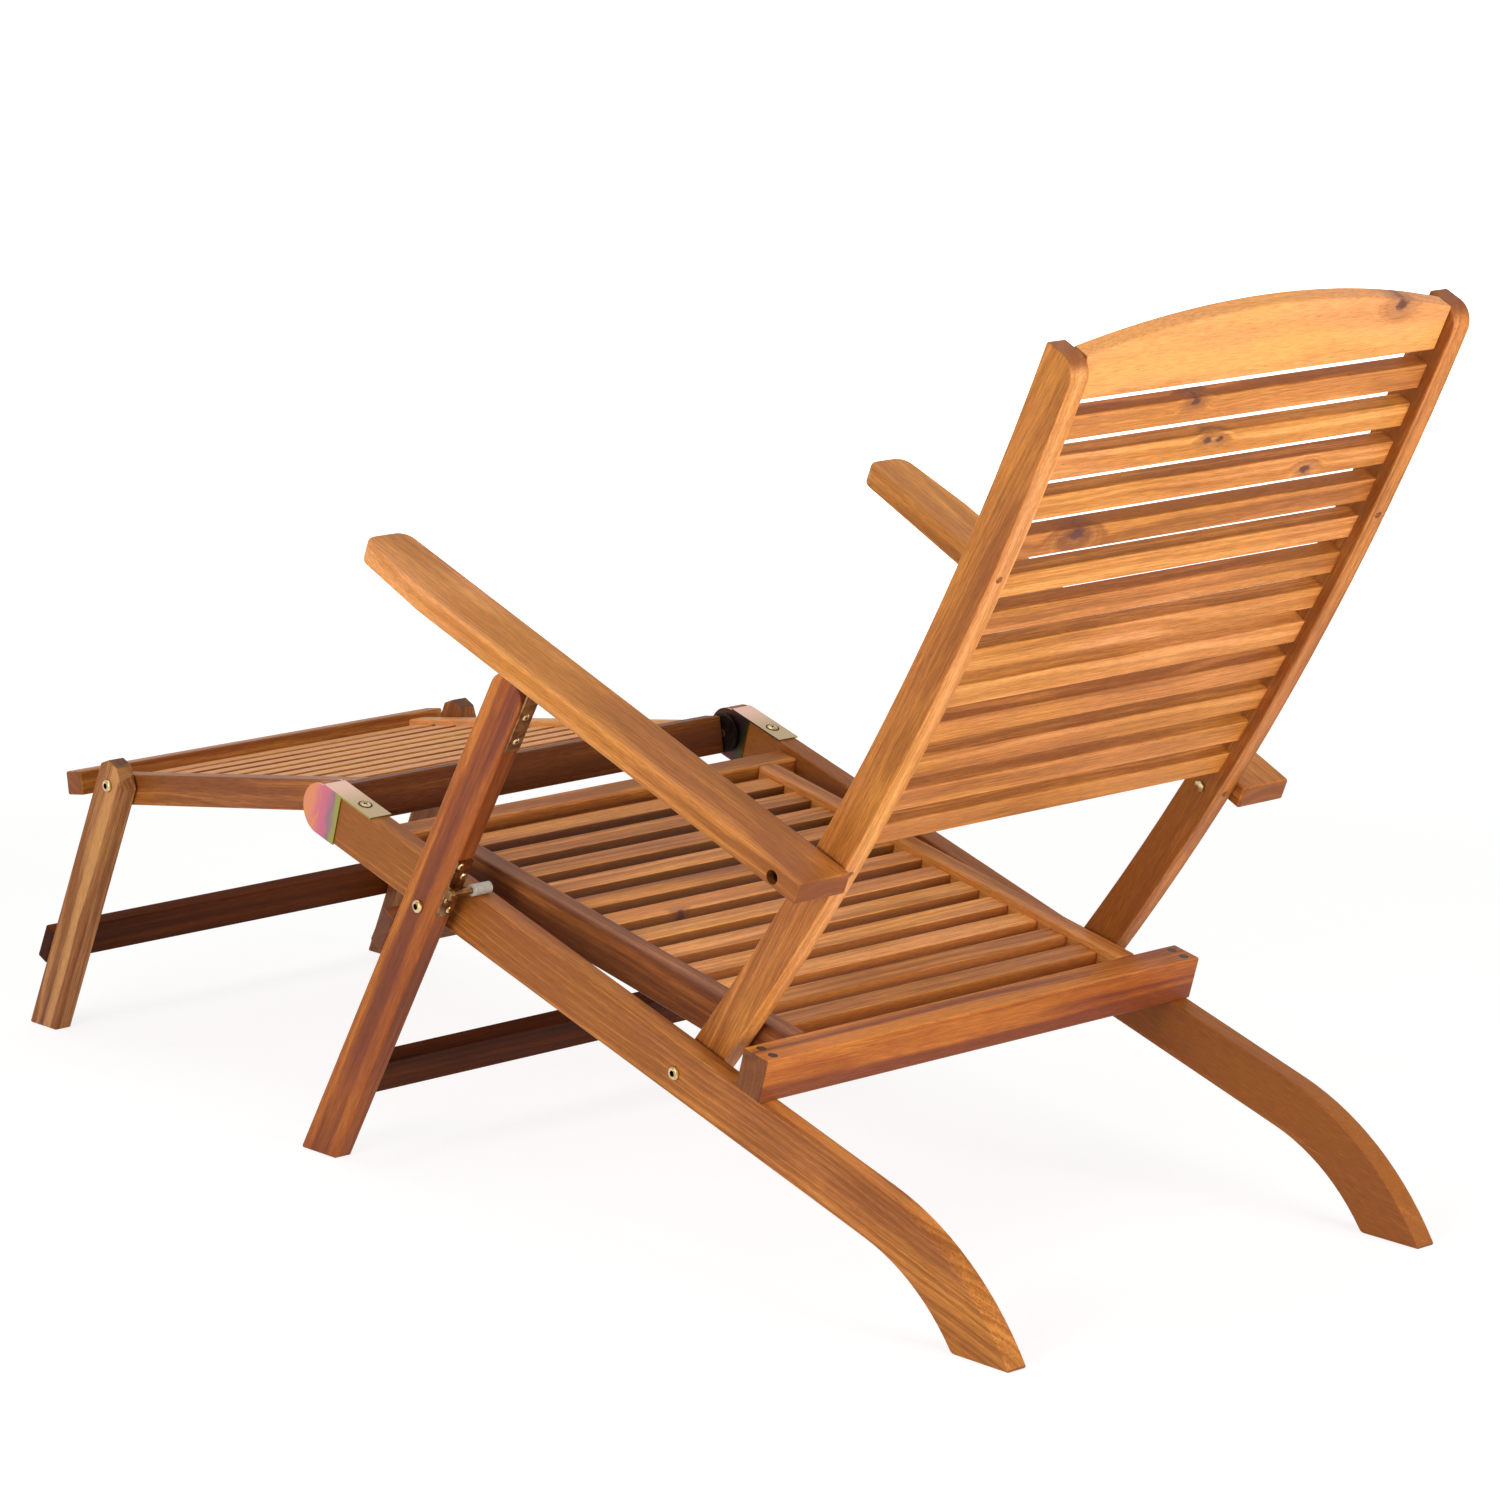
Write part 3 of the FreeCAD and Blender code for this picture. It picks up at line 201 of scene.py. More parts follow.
class Bench:
    """Adds and links nodes in one node tree."""

    def __init__(self, tree):
        self.tree = tree

    def feed(self, socket, value):
        if isinstance(value, bpy.types.NodeSocket):
            self.tree.links.new(value, socket)
        else:
            socket.default_value = value

    def add(self, kind, inputs=None, **settings):
        made = self.tree.nodes.new(kind)
        for name, value in settings.items():
            setattr(made, name, value)
        for key, value in (inputs or {}).items():
            self.feed(made.inputs[key], value)
        return made

    def math(self, operation, *values, clamp=False):
        made = self.add("ShaderNodeMath", dict(enumerate(values)), operation=operation, use_clamp=clamp)
        return made.outputs[0]

    def vector(self, operation, *values):
        made = self.add("ShaderNodeVectorMath", dict(enumerate(values)), operation=operation)
        return made.outputs["Value" if operation in ("LENGTH", "DOT_PRODUCT") else "Vector"]

    def scaled(self, place, *scale):
        """A place stretched by one value, or by one for each axis."""
        return self.vector("MULTIPLY", place, scale if len(scale) == 3 else scale * 3)

    def noise(self, place, detail=2.0, roughness=0.5):
        made = self.add("ShaderNodeTexNoise", {"Vector": place, "Scale": 1.0, "Detail": detail,
                                               "Roughness": roughness})
        return made.outputs["Fac"]

    def noise_vector(self, place, detail=1.0):
        made = self.add("ShaderNodeTexNoise", {"Vector": place, "Scale": 1.0, "Detail": detail})
        return self.vector("SUBTRACT", made.outputs["Color"], (0.5, 0.5, 0.5))

    def spread(self, value, low, high, out_low=0.0, out_high=1.0):
        made = self.add("ShaderNodeMapRange", {"Value": value, "From Min": low, "From Max": high,
                                               "To Min": out_low, "To Max": out_high},
                        interpolation_type="SMOOTHSTEP")
        return made.outputs["Result"]

    def own_place(self):
        return self.add("ShaderNodeTexCoord").outputs["Object"]

    def grey(self, value):
        return self.add("ShaderNodeCombineColor", {0: value, 1: value, 2: value}).outputs[0]

    def split(self, value):
        return self.add("ShaderNodeSeparateXYZ", {0: value}).outputs

    def mix(self, share, first, second, blend="MIX"):
        made = self.add("ShaderNodeMix", data_type="RGBA", blend_type=blend)
        self.feed(made.inputs["Factor"], share)
        self.feed(made.inputs[6], first)
        self.feed(made.inputs[7], second)
        return made.outputs[2]

    def bump(self, shader, height, strength, distance):
        made = self.add("ShaderNodeBump", {"Strength": strength, "Distance": distance, "Height": height})
        self.feed(shader.inputs["Normal"], made.outputs[0])

    def coat(self, shader, tint, texture, gain, least, bump=0.0, depth=0.0):
        """Sets a shader's colour, and takes its roughness and its bump from one texture."""
        self.feed(shader.inputs["Base Color"], tint)
        self.feed(shader.inputs["Roughness"], self.math("MULTIPLY_ADD", texture, gain, least))
        if bump:
            self.bump(shader, texture, bump, depth)


def blank_finish(name):
    """A new material with its bench and its shader."""
    material = bpy.data.materials.new(name)
    material.use_nodes = True
    return material, Bench(material.node_tree), material.node_tree.nodes["Principled BSDF"]


def new_group(name, inputs, outputs):
    """A node group with its sockets, its bench, and its input and output nodes."""
    tree = bpy.data.node_groups.new(name, "ShaderNodeTree")
    for label, kind in inputs:
        tree.interface.new_socket(name=label, in_out="INPUT", socket_type="NodeSocket" + kind)
    for label, kind in outputs:
        tree.interface.new_socket(name=label, in_out="OUTPUT", socket_type="NodeSocket" + kind)
    bench = Bench(tree)
    return tree, bench, bench.add("NodeGroupInput").outputs, bench.add("NodeGroupOutput").inputs


def grain_group():
    """The wood itself: rings round a pith, broad streaks, fine fibres and pores, in a board's own
    metres with the grain along X."""
    name = "oiled_grain"
    if name in bpy.data.node_groups:
        return bpy.data.node_groups[name]
    timber = bpy.context.scene.chair_timber
    tree, bench, given, made = new_group(
        name,
        [("Place", "Vector"), ("Turned normal", "Vector"), ("Pith", "Vector"), ("Seed", "Float"),
         ("Light", "Color"), ("Middle", "Color"), ("Dark", "Color"), ("Streak", "Color"), ("End", "Color"),
         ("Streaks", "Float"), ("Balance", "Float"), ("Knot", "Float"), ("Swirl", "Float")],
        [("Color", "Color"), ("Height", "Float"), ("Roughness", "Float")])
    seed = given["Seed"]
    seed = bench.add("ShaderNodeCombineXYZ", {0: seed, 1: seed, 2: seed}).outputs[0]
    place = bench.vector("ADD", given["Place"], bench.scaled(seed, 0.37, 0.61, 0.83))

    def stretched(along, across):
        return bench.scaled(place, along, across, across)

    sway = bench.scaled(bench.noise_vector(stretched(2.6, 7.0), 2.0), 0.0, 0.024, 0.024)
    from_pith = bench.vector("SUBTRACT", bench.vector("ADD", given["Place"], sway), given["Pith"])
    radius = bench.vector("LENGTH", bench.scaled(from_pith, 0.0, 1.0, 1.0))
    radius = bench.math("SUBTRACT", radius, given["Swirl"])
    ring = bench.add("ShaderNodeTexNoise", {"W": bench.math("MULTIPLY_ADD", radius, 1.0 / timber.ring_spacing,
                                                            given["Seed"]),
                                            "Scale": 1.0, "Detail": 3.0, "Roughness": 0.62},
                     noise_dimensions="1D").outputs["Fac"]
    ring = bench.spread(ring, 0.30, 0.72)
    width = 1.0 / timber.fibre_width
    dash = bench.noise(stretched(width * 0.02, width * 0.62), 3.0, 0.6)
    fibre = bench.noise(stretched(width * 0.07, width * 1.3), 2.0, 0.6)
    cloud = bench.noise(stretched(7.0, 26.0), 2.0)
    level = bench.math("MULTIPLY_ADD", ring, 0.30, bench.math("MULTIPLY", dash, 0.54))
    level = bench.math("ADD", level, bench.math("MULTIPLY_ADD", cloud, 0.52, -0.10))
    level = bench.math("ADD", level, given["Balance"])
    wood = bench.mix(bench.spread(level, 0.25, 0.62), given["Dark"], given["Middle"])
    wood = bench.mix(bench.spread(level, 0.56, 0.98), wood, given["Light"])
    streak = bench.noise(stretched(1.6, 48.0), 3.0, 0.55)
    streak = bench.math("MULTIPLY", bench.spread(streak, 0.48, 0.66), given["Streaks"])
    wood = bench.mix(streak, wood, given["Streak"])
    warmth = bench.spread(bench.noise(stretched(5.0, 17.0), 1.0), 0.35, 0.65)
    wood = bench.mix(1.0, wood, bench.mix(warmth, (1.04, 1.04, 0.84, 1.0), (1.0, 0.95, 1.0, 1.0)), "MULTIPLY")
    wood = bench.mix(1.0, wood, bench.grey(bench.spread(fibre, 0.26, 0.76, 0.78, 1.18)), "MULTIPLY")
    pore = bench.spread(bench.noise(stretched(width * 0.13, width * 1.1), 1.0), 0.66, 0.76)
    wood = bench.mix(1.0, wood, bench.grey(bench.math("MULTIPLY_ADD", pore, -0.34, 1.0)), "MULTIPLY")
    wood = bench.mix(given["Knot"], wood, tuple(timber.knot))
    ends = bench.split(given["Turned normal"])[0]
    ends = bench.spread(bench.math("ABSOLUTE", ends), 0.55, 0.95)
    wood = bench.mix(bench.math("MULTIPLY", ends, 0.72), wood, given["End"])
    bench.feed(made["Color"], wood)
    height = bench.math("MULTIPLY_ADD", pore, -0.8, bench.math("MULTIPLY", dash, 0.45))
    bench.feed(made["Height"], bench.math("MULTIPLY_ADD", ring, 0.15, height))
    bench.feed(made["Roughness"], bench.math("MULTIPLY_ADD", dash, 0.20, 0.40))
    return tree


def knot_group():
    """How much of a knot shows at a place on a board, and how far the rings are pushed aside there."""
    name = "knot"
    if name in bpy.data.node_groups:
        return bpy.data.node_groups[name]
    tree, bench, given, made = new_group(
        name, [("Place", "Vector"), ("Centre", "Vector"), ("Radius", "Float")],
        [("Knot", "Float"), ("Swirl", "Float")])
    away = bench.vector("SUBTRACT", given["Place"], given["Centre"])
    ragged = bench.noise_vector(bench.scaled(given["Place"], 160.0, 260.0, 260.0), 2.0)
    away = bench.vector("ADD", bench.scaled(away, 0.7, 1.0, 0.0), bench.scaled(ragged, 0.007, 0.005, 0.0))
    reach = bench.math("DIVIDE", bench.vector("LENGTH", away), given["Radius"])
    core = bench.spread(reach, 0.35, 1.1, 0.95, 0.0)
    halo = bench.spread(reach, 0.8, 2.6, 0.40, 0.0)
    bench.feed(made["Knot"], bench.math("MAXIMUM", core, halo))
    push = bench.spread(reach, 0.0, 3.2, 1.6, 0.0)
    bench.feed(made["Swirl"], bench.math("MULTIPLY", push, given["Radius"]))
    return tree


def board_turn(along, face):
    """The rotation that lays a board's grain on X and its face on Z."""
    x = Vector(along).normalized()
    z = (Vector(face) - x * x.dot(Vector(face))).normalized()
    return Matrix((x, z.cross(x), z))


def dress(piece, material):
    """Puts one material in every slot of a piece."""
    if not piece.material_slots:
        piece.data.materials.append(material)
    for slot in piece.material_slots:
        slot.material = material


def timber_board(node, wood, along, face, seed, balance=0.0, streaks=0.3, pith=(0.0, -0.035, -0.05), knots=(),
                 pitch=None, sapwood=None, fade=0.0, gloss=0.22, faces=None, ends=None, shade=None):
    """Gives a board its own cut of timber. With a pitch, each slat of the node gets its own cut.
    Sapwood runs between two distances across the board with a strength, and the board pales by fade
    in each metre. Faces holds painted light and shade: what the balance gains on the board's edges
    and on its broad faces. Ends names the wood whose streaks colour the end grain, and shade is
    painted shade that multiplies the edges' colour, from one value at the front of a row of slats
    to another at its rear, where a value over one paints light."""
    timber = bpy.context.scene.chair_timber
    low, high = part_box(node)
    centre = (low + high) / 2
    turn = board_turn(along, face)
    euler = turn.to_euler("XYZ")
    material, bench, shader = blank_finish(node + "_timber")
    source = bench.add("ShaderNodeTexCoord").outputs
    place = bench.add("ShaderNodeMapping", {"Vector": source["Object"], "Location": -(turn @ centre),
                                            "Rotation": euler}).outputs[0]
    normal = bench.add("ShaderNodeMapping", {"Vector": source["Normal"], "Rotation": euler},
                       vector_type="VECTOR").outputs[0]
    parts = bench.split(place)
    facing = bench.split(bench.vector("ABSOLUTE", normal))
    if pitch:
        row = bench.math("FLOOR", bench.math("DIVIDE", parts[1], pitch))
        chance = bench.add("ShaderNodeTexWhiteNoise", {"W": bench.math("ADD", row, seed)},
                           noise_dimensions="1D").outputs["Value"]
        seed = bench.math("MULTIPLY_ADD", chance, SLAT_SEEDS, seed)
        balance = bench.math("MULTIPLY_ADD", chance, SLAT_VARIETY, balance - SLAT_VARIETY / 2)
    if fade:
        balance = bench.math("MULTIPLY_ADD", parts[0], fade, balance)
    if sapwood:
        low_edge, high_edge, strength = sapwood
        wander = bench.noise(bench.scaled(place, 9.0, 60.0, 60.0))
        across = bench.math("MULTIPLY_ADD", wander, SAPWOOD_WANDER, parts[1])
        stripe = bench.math("MULTIPLY", bench.spread(across, low_edge, low_edge + SAPWOOD_BLEND),
                            bench.spread(across, high_edge, high_edge + SAPWOOD_BLEND, 1.0, 0.0))
        balance = bench.math("MULTIPLY_ADD", stripe, strength, balance)
    # Painted light and shade: faces lighten or darken a board by the way each face points
    if faces:
        for socket, tone in zip(facing[1:], faces):
            balance = bench.math("MULTIPLY_ADD", bench.spread(socket, *FACING), tone, balance)
    knot = swirl = 0.0
    for centre_along, centre_across, radius in knots:
        made = bench.add("ShaderNodeGroup", {"Place": place, "Centre": (centre_along, centre_across, 0.0),
                                             "Radius": radius}, node_tree=knot_group()).outputs
        knot = bench.math("MAXIMUM", knot, made["Knot"])
        swirl = bench.math("ADD", swirl, made["Swirl"])
    given = {"Place": place, "Turned normal": normal, "Pith": pith, "Seed": seed, "Streaks": streaks,
             "Balance": balance, "Knot": knot, "Swirl": swirl}
    for label, paint_name in (("Light", wood + "_light"), ("Middle", wood + "_mid"), ("Dark", wood + "_dark"),
                              ("Streak", wood + "_streak"), ("End", (ends or wood) + "_streak")):
        given[label] = tuple(getattr(timber, paint_name))
    grain = bench.add("ShaderNodeGroup", given, node_tree=grain_group()).outputs
    tint = grain["Color"]
    # Painted shade on the edges of a row of slats, deeper at its front; a value over one paints light
    if shade:
        level = bench.grey(bench.spread(parts[1], *ROW_PAINTED_SHADE, *shade))
        tint = bench.mix(bench.spread(facing[1], *FACING), tint, level, "MULTIPLY")
    bench.feed(shader.inputs["Base Color"], tint)
    bench.feed(shader.inputs["Roughness"], grain["Roughness"])
    bench.bump(shader, grain["Height"], 0.5, timber.relief)
    shader.inputs["Specular IOR Level"].default_value = gloss
    dress(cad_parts[node], material)


# Metal and plastic finishes

CAP_CORAL = paint(204, 130, 102)
CAP_GREY = paint(142, 108, 118)
CAP_ROSE = paint(216, 178, 160)
CAP_BEIGE = paint(178, 156, 122)
CAP_DARK = paint(52, 40, 32)
TARNISH = paint(104, 70, 42)
# Painted shade in sockets, recesses and countersinks, dark and mottled
PAINTED_RECESS_SHADE = paint(30, 20, 12), paint(74, 54, 34)
BLACKENING = paint(34, 29, 26), paint(66, 58, 50)


def dimmed(tint, share):
    """A colour at a share of its brightness."""
    return tuple(share * value for value in tint[:3]) + (1.0,)


def finish_of(name, make):
    """A finish that several pieces share, made the first time it is asked for."""
    return bpy.data.materials.get(name) or make(name)


def dress_nodes(name, make, *nodes):
    """Puts a shared finish on these nodes."""
    for node in nodes:
        dress(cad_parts[node], finish_of(name, make))


def metal(name):
    """A metal material with its bench and shader. Its colour and roughness are still to be set."""
    material, bench, shader = blank_finish(name)
    shader.inputs["Metallic"].default_value = 1.0
    return material, bench, shader


def plated(name):
    """Yellow plating: gold with drifting pink, orange and green tints and a fine rolled texture."""
    fittings = bpy.context.scene.chair_fittings
    material, bench, shader = metal(name)
    place = bench.own_place()
    drift = bench.noise(bench.scaled(place, 60.0), 2.0)
    tint = bench.mix(bench.spread(drift, 0.34, 0.46), tuple(fittings.pink), tuple(fittings.gold))
    tint = bench.mix(bench.spread(drift, 0.50, 0.58), tint, tuple(fittings.orange))
    tint = bench.mix(bench.spread(drift, 0.60, 0.70), tint, tuple(fittings.green))
    body = bench.mix(0.42, tuple(fittings.gold), tint)
    tarnish = bench.noise(bench.scaled(place, 130.0), 3.0, 0.6)
    body = bench.mix(bench.spread(tarnish, 0.36, 0.62, 0.35, 0.92), body, TARNISH)
    rolled = bench.noise(bench.scaled(place, 500.0, 900.0, 900.0), 3.0)
    bench.coat(shader, body, rolled, 0.18, 0.24, bump=0.25, depth=0.0001)
    return material


def cap_plating(name):
    """The hinge caps' plating: the outer cheek runs from an orange flame through magenta and grey
    to an olive rim, the strap from pinkish to grey beige, and the inner cheek is dark."""
    fittings = bpy.context.scene.chair_fittings
    material, bench, shader = metal(name)
    turn = board_turn(side_direction(RAIL_SLOPE), ACROSS)
    low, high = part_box("hinge_pins")
    pivot = (low + high) / 2
    source = bench.add("ShaderNodeTexCoord").outputs
    place = source["Object"]
    shift = -(turn @ Vector((0.0, pivot.y, pivot.z)))
    along = bench.add("ShaderNodeMapping", {"Vector": place, "Location": shift,
                                            "Rotation": turn.to_euler("XYZ")}).outputs[0]
    wave = bench.noise(bench.scaled(along, 55.0, 38.0, 30.0), 2.0)
    parts = bench.split(along)
    distance = bench.math("MULTIPLY_ADD", bench.math("SUBTRACT", wave, 0.5), 0.024, parts[0])
    tint = bench.mix(bench.spread(distance, -0.014, 0.004), CAP_CORAL, tuple(fittings.pink))
    tint = bench.mix(bench.spread(distance, 0.006, 0.017), tint, CAP_GREY)
    tint = bench.mix(bench.spread(distance, 0.016, 0.022), tint, tuple(fittings.green))
    flame = bench.noise(bench.scaled(along, 150.0, 40.0, 30.0), 3.0, 0.65)
    flame = bench.math("MULTIPLY", bench.spread(flame, 0.48, 0.66),
                       bench.spread(parts[0], -0.004, 0.006, 0.75, 0.0))
    tint = bench.mix(flame, tint, tuple(fittings.orange))
    strap = bench.mix(bench.spread(parts[0], 0.004, 0.05), CAP_ROSE, CAP_BEIGE)
    facing = bench.split(source["Normal"])
    tint = bench.mix(bench.spread(facing[2], 0.35, 0.75), tint, strap)
    where = bench.split(place)[0]
    inward = bench.math("MULTIPLY", facing[0], bench.math("SIGN", where))
    tint = bench.mix(bench.spread(inward, -0.6, -0.2, 0.85, 0.0), tint, CAP_DARK)
    rolled = bench.noise(bench.scaled(place, 700.0, 500.0, 900.0), 3.0)
    bench.coat(shader, tint, rolled, 0.2, 0.34, bump=0.2, depth=0.0001)
    return material


def screw_finish(name):
    """Bright plated screws and bolts, drifting between steel and gold."""
    fittings = bpy.context.scene.chair_fittings
    material, bench, shader = metal(name)
    drift = bench.noise(bench.scaled(bench.own_place(), 180.0), 2.0)
    tint = bench.mix(bench.spread(drift, 0.4, 0.65), tuple(fittings.screw_steel), tuple(fittings.gold))
    bench.coat(shader, tint, drift, 0.2, 0.18)
    return material


def socket_dark(name):
    """Painted shade: the dark, mottled walls of a socket or a recess."""
    material, bench, shader = metal(name)
    shade_mottle = bench.noise(bench.scaled(bench.own_place(), 700.0), 2.0)
    bench.feed(shader.inputs["Base Color"], bench.mix(shade_mottle, *PAINTED_RECESS_SHADE))
    bench.feed(shader.inputs["Roughness"], 0.6)
    return material


def dark_steel(name):
    """Blackened steel with a faint bloom."""
    material, bench, shader = metal(name)
    bloom = bench.noise(bench.scaled(bench.own_place(), 140.0), 3.0)
    bench.coat(shader, bench.mix(bloom, *BLACKENING), bloom, 0.3, 0.3)
    return material


def sleeve_finish(name):
    """Off-white plastic, scuffed round the sleeve."""
    fittings = bpy.context.scene.chair_fittings
    material, bench, shader = blank_finish(name)
    scuff = bench.noise(bench.scaled(bench.own_place(), 900.0, 350.0, 350.0), 3.0)
    tint = bench.mix(bench.spread(scuff, 0.35, 0.7), dimmed(fittings.sleeve, 0.72), tuple(fittings.sleeve))
    bench.coat(shader, tint, scuff, 0.2, 0.35, bump=0.3, depth=0.0002)
    return material


def plug_finish(name):
    """End grain of the dowels, dark or pale: rings and speckled pores."""
    timber = bpy.context.scene.chair_timber
    material, bench, shader = blank_finish(name)
    place = bench.own_place()
    speck = bench.noise(bench.scaled(place, 1600.0), 2.0)
    ring = bench.noise(bench.scaled(place, 260.0), 1.0)
    light = tuple(timber.honey_mid if name == "pale_plug" else timber.plug)
    shade = bench.math("MULTIPLY_ADD", speck, 0.6, bench.math("MULTIPLY", ring, 0.5))
    tint = bench.mix(bench.spread(shade, 0.4, 0.75), dimmed(light, 0.45), light)
    bench.coat(shader, tint, speck, 0.2, 0.45, bump=0.4, depth=0.0002)
    return material


# Modelling by hand

BOLT_HEAD_RADIUS = 0.0065
BOLT_HEAD_HEIGHT = 0.0036
BOLT_SHANK_RADIUS = 0.0034
BOLT_DOME = 0.72
BOLT_SPIN = 0.35
NUT_RADIUS = 0.006
NUT_HEIGHT = 0.003
SCREW_SHANK_RADIUS = 0.0019
SCREW_TIP_CLEARANCE = 0.0004
# How far the first screw of a node is turned, and how much further each next one
SCREW_SPIN = 0.6
SCREW_SPIN_STEP = 1.1
# A screw's slot in shares of the head's radius and height, and of its own width at the bottom
SLOT_LENGTH = 1.2
SLOT_WIDTH = 0.3
SLOT_HEIGHT = 1.6
SLOT_TAPER = 0.55
RING_HEIGHT = 0.00025
# A ring is the radius of painted shade round each head
CAP_SCREW = {"radius": 0.0056, "height": 0.0012, "top_radius": 0.0044, "ring": 0.0070}
SMALL_SCREW = {"radius": 0.0036, "height": 0.0012, "top_radius": 0.0024}
SMOOTH_ANGLE = math.radians(32.0)


def clear_bench():
    """Back to object mode with nothing selected."""
    if bpy.context.mode != "OBJECT":
        bpy.ops.object.mode_set(mode="OBJECT")
    bpy.ops.object.select_all(action="DESELECT")


def cylinder(radius, low, high, sides=32):
    """A cylinder along Z from low to high, as the active object."""
    clear_bench()
    bpy.ops.mesh.primitive_cylinder_add(vertices=sides, radius=radius, depth=high - low,
                                        location=(0.0, 0.0, (low + high) / 2))
    bpy.ops.object.transform_apply(location=True, rotation=True, scale=True)
    return bpy.context.object


def pick_faces(piece, test):
    """Edit mode with only the faces that pass a test on their centre and normal."""
    bpy.context.view_layer.objects.active = piece
    bpy.ops.object.mode_set(mode="EDIT")
    bpy.ops.mesh.select_mode(type="FACE")
    bpy.ops.mesh.select_all(action="DESELECT")
    shape = bmesh.from_edit_mesh(piece.data)
    for face in shape.faces:
        face.select_set(test(face.calc_center_median(), face.normal))
    bmesh.update_edit_mesh(piece.data)


def bevel_rim(piece, height, offset, segments):
    """Rounds the rim of a cylinder at this height."""
    pick_faces(piece, lambda centre, normal: abs(centre.z - height) < 1e-7)
    bpy.ops.mesh.bevel(offset=offset, segments=segments, affect="EDGES", clamp_overlap=True)
    bpy.ops.object.mode_set(mode="OBJECT")


def cut_with(piece, cutter):
    """Cuts one piece with another, which is then thrown away."""
    cut = piece.modifiers.new("cut", "BOOLEAN")
    cut.operation = "DIFFERENCE"
    cut.solver = "EXACT"
    cut.material_mode = "TRANSFER"
    cut.object = cutter
    clear_bench()
    bpy.context.view_layer.objects.active = piece
    piece.select_set(True)
    bpy.ops.object.modifier_apply(modifier=cut.name)
    bpy.data.objects.remove(cutter)


def joined(pieces, name):
    """One piece made of several, at the origin, with smooth shading up to its hard edges."""
    clear_bench()
    for piece in pieces:
        piece.select_set(True)
    whole = pieces[0]
    bpy.context.view_layer.objects.active = whole
    bpy.ops.object.join()
    whole.name = name
    whole.data.name = name
    bpy.ops.object.shade_smooth_by_angle(angle=SMOOTH_ANGLE)
    return whole


def placed(piece, where, direction, spin=0.0):
    """Stands a piece that was made along Z on a place, with Z along a direction."""
    turn = Vector(direction).to_track_quat("Z", "Y") @ Quaternion((0.0, 0.0, 1.0), spin)
    piece.matrix_world = Matrix.Translation(where) @ turn.to_matrix().to_4x4()
    clear_bench()
    piece.select_set(True)
    bpy.context.view_layer.objects.active = piece
    bpy.ops.object.transform_apply(location=True, rotation=True, scale=True)
    return piece


def copied(piece):
    twin = piece.copy()
    twin.data = piece.data.copy()
    bpy.context.scene.collection.objects.link(twin)
    return twin


def lumps(node):
    """The corner points of each separate solid of a node."""
    shape = bmesh.new()
    shape.from_mesh(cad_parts[node].data)
    bmesh.ops.remove_doubles(shape, verts=shape.verts, dist=1e-6)
    left = set(shape.verts)
    found = []
    while left:
        stack = [left.pop()]
        lump = []
        while stack:
            corner = stack.pop()
            lump.append(corner.co.copy())
            for edge in corner.link_edges:
                other = edge.other_vert(corner)
                if other in left:
                    left.remove(other)
                    stack.append(other)
        found.append(lump)
    shape.free()
    return sorted(found, key=lambda lump: [round(sum(values) / len(lump), 5) for values in zip(*lump)])


def top_along(lump, direction):
    """Where a round piece's axis leaves its top, looking along a direction, and the piece's length."""
    direction = Vector(direction).normalized()
    side = direction.orthogonal().normalized()
    other = direction.cross(side)
    middle = Vector((0.0, 0.0, 0.0))
    for axis in (side, other):
        reach = [point.dot(axis) for point in lump]
        middle += axis * (min(reach) + max(reach)) / 2
    heights = [point.dot(direction) for point in lump]
    return middle + direction * max(heights), max(heights) - min(heights)


def cross_screw(radius, height, top_radius):
    """A screw head with a crossed recess. Its top is at the origin and it points up."""
    head = cylinder(radius, -height, 0.0, 36)
    dress(head, finish_of("screw_steel", screw_finish))
    pick_faces(head, lambda centre, normal: normal.z > 0.9)
    bpy.ops.transform.resize(value=(top_radius / radius, top_radius / radius, 1.0))
    bpy.ops.object.mode_set(mode="OBJECT")
    bevel_rim(head, 0.0, (radius - top_radius) * 0.4, 2)
    for spin in (0.0, math.pi / 2):
        clear_bench()
        bpy.ops.mesh.primitive_cube_add(size=1.0)
        slot = bpy.context.object
        slot.scale = (radius * SLOT_LENGTH, radius * SLOT_WIDTH, height * SLOT_HEIGHT)
        slot.rotation_euler.z = spin
        bpy.ops.object.transform_apply(location=True, rotation=True, scale=True)
        # The recess walls take painted shade
        dress(slot, finish_of("socket_dark", socket_dark))
        pick_faces(slot, lambda centre, normal: normal.z < -0.9)
        bpy.ops.transform.resize(value=(SLOT_TAPER, SLOT_TAPER, 1.0))
        bpy.ops.object.mode_set(mode="OBJECT")
        cut_with(head, slot)
    return head


def screw_set(name, nodes, direction, body, radius, height, top_radius, ring=0.0):
    """New heads and shanks for all the screws of these nodes. With a ring's radius, a thin dark disc
    goes round each head as painted shade in its countersink."""
    model = cross_screw(radius, height, top_radius)
    heads = []
    for node in nodes:
        for number, lump in enumerate(lumps(node)):
            top, length = top_along(lump, direction)
            head = placed(copied(model), top, direction, SCREW_SPIN + SCREW_SPIN_STEP * number)
            shank = cylinder(SCREW_SHANK_RADIUS, -length + SCREW_TIP_CLEARANCE, -height, 16)
            shank = placed(shank, top, direction)
            dress(shank, finish_of("screw_steel", screw_finish))
            heads += [head, shank]
            # The ring is a thin disc of painted shade round the head
            if ring:
                edge = cylinder(ring, -height - RING_HEIGHT, -height + RING_HEIGHT, 36)
                bevel_rim(edge, -height + RING_HEIGHT, RING_HEIGHT * 0.6, 2)
                dress(edge, finish_of("socket_dark", socket_dark))
                heads.append(placed(edge, top, direction))
    bpy.data.objects.remove(model)
    piece = joined(heads, name)
    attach(piece, body)
    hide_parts(*nodes)


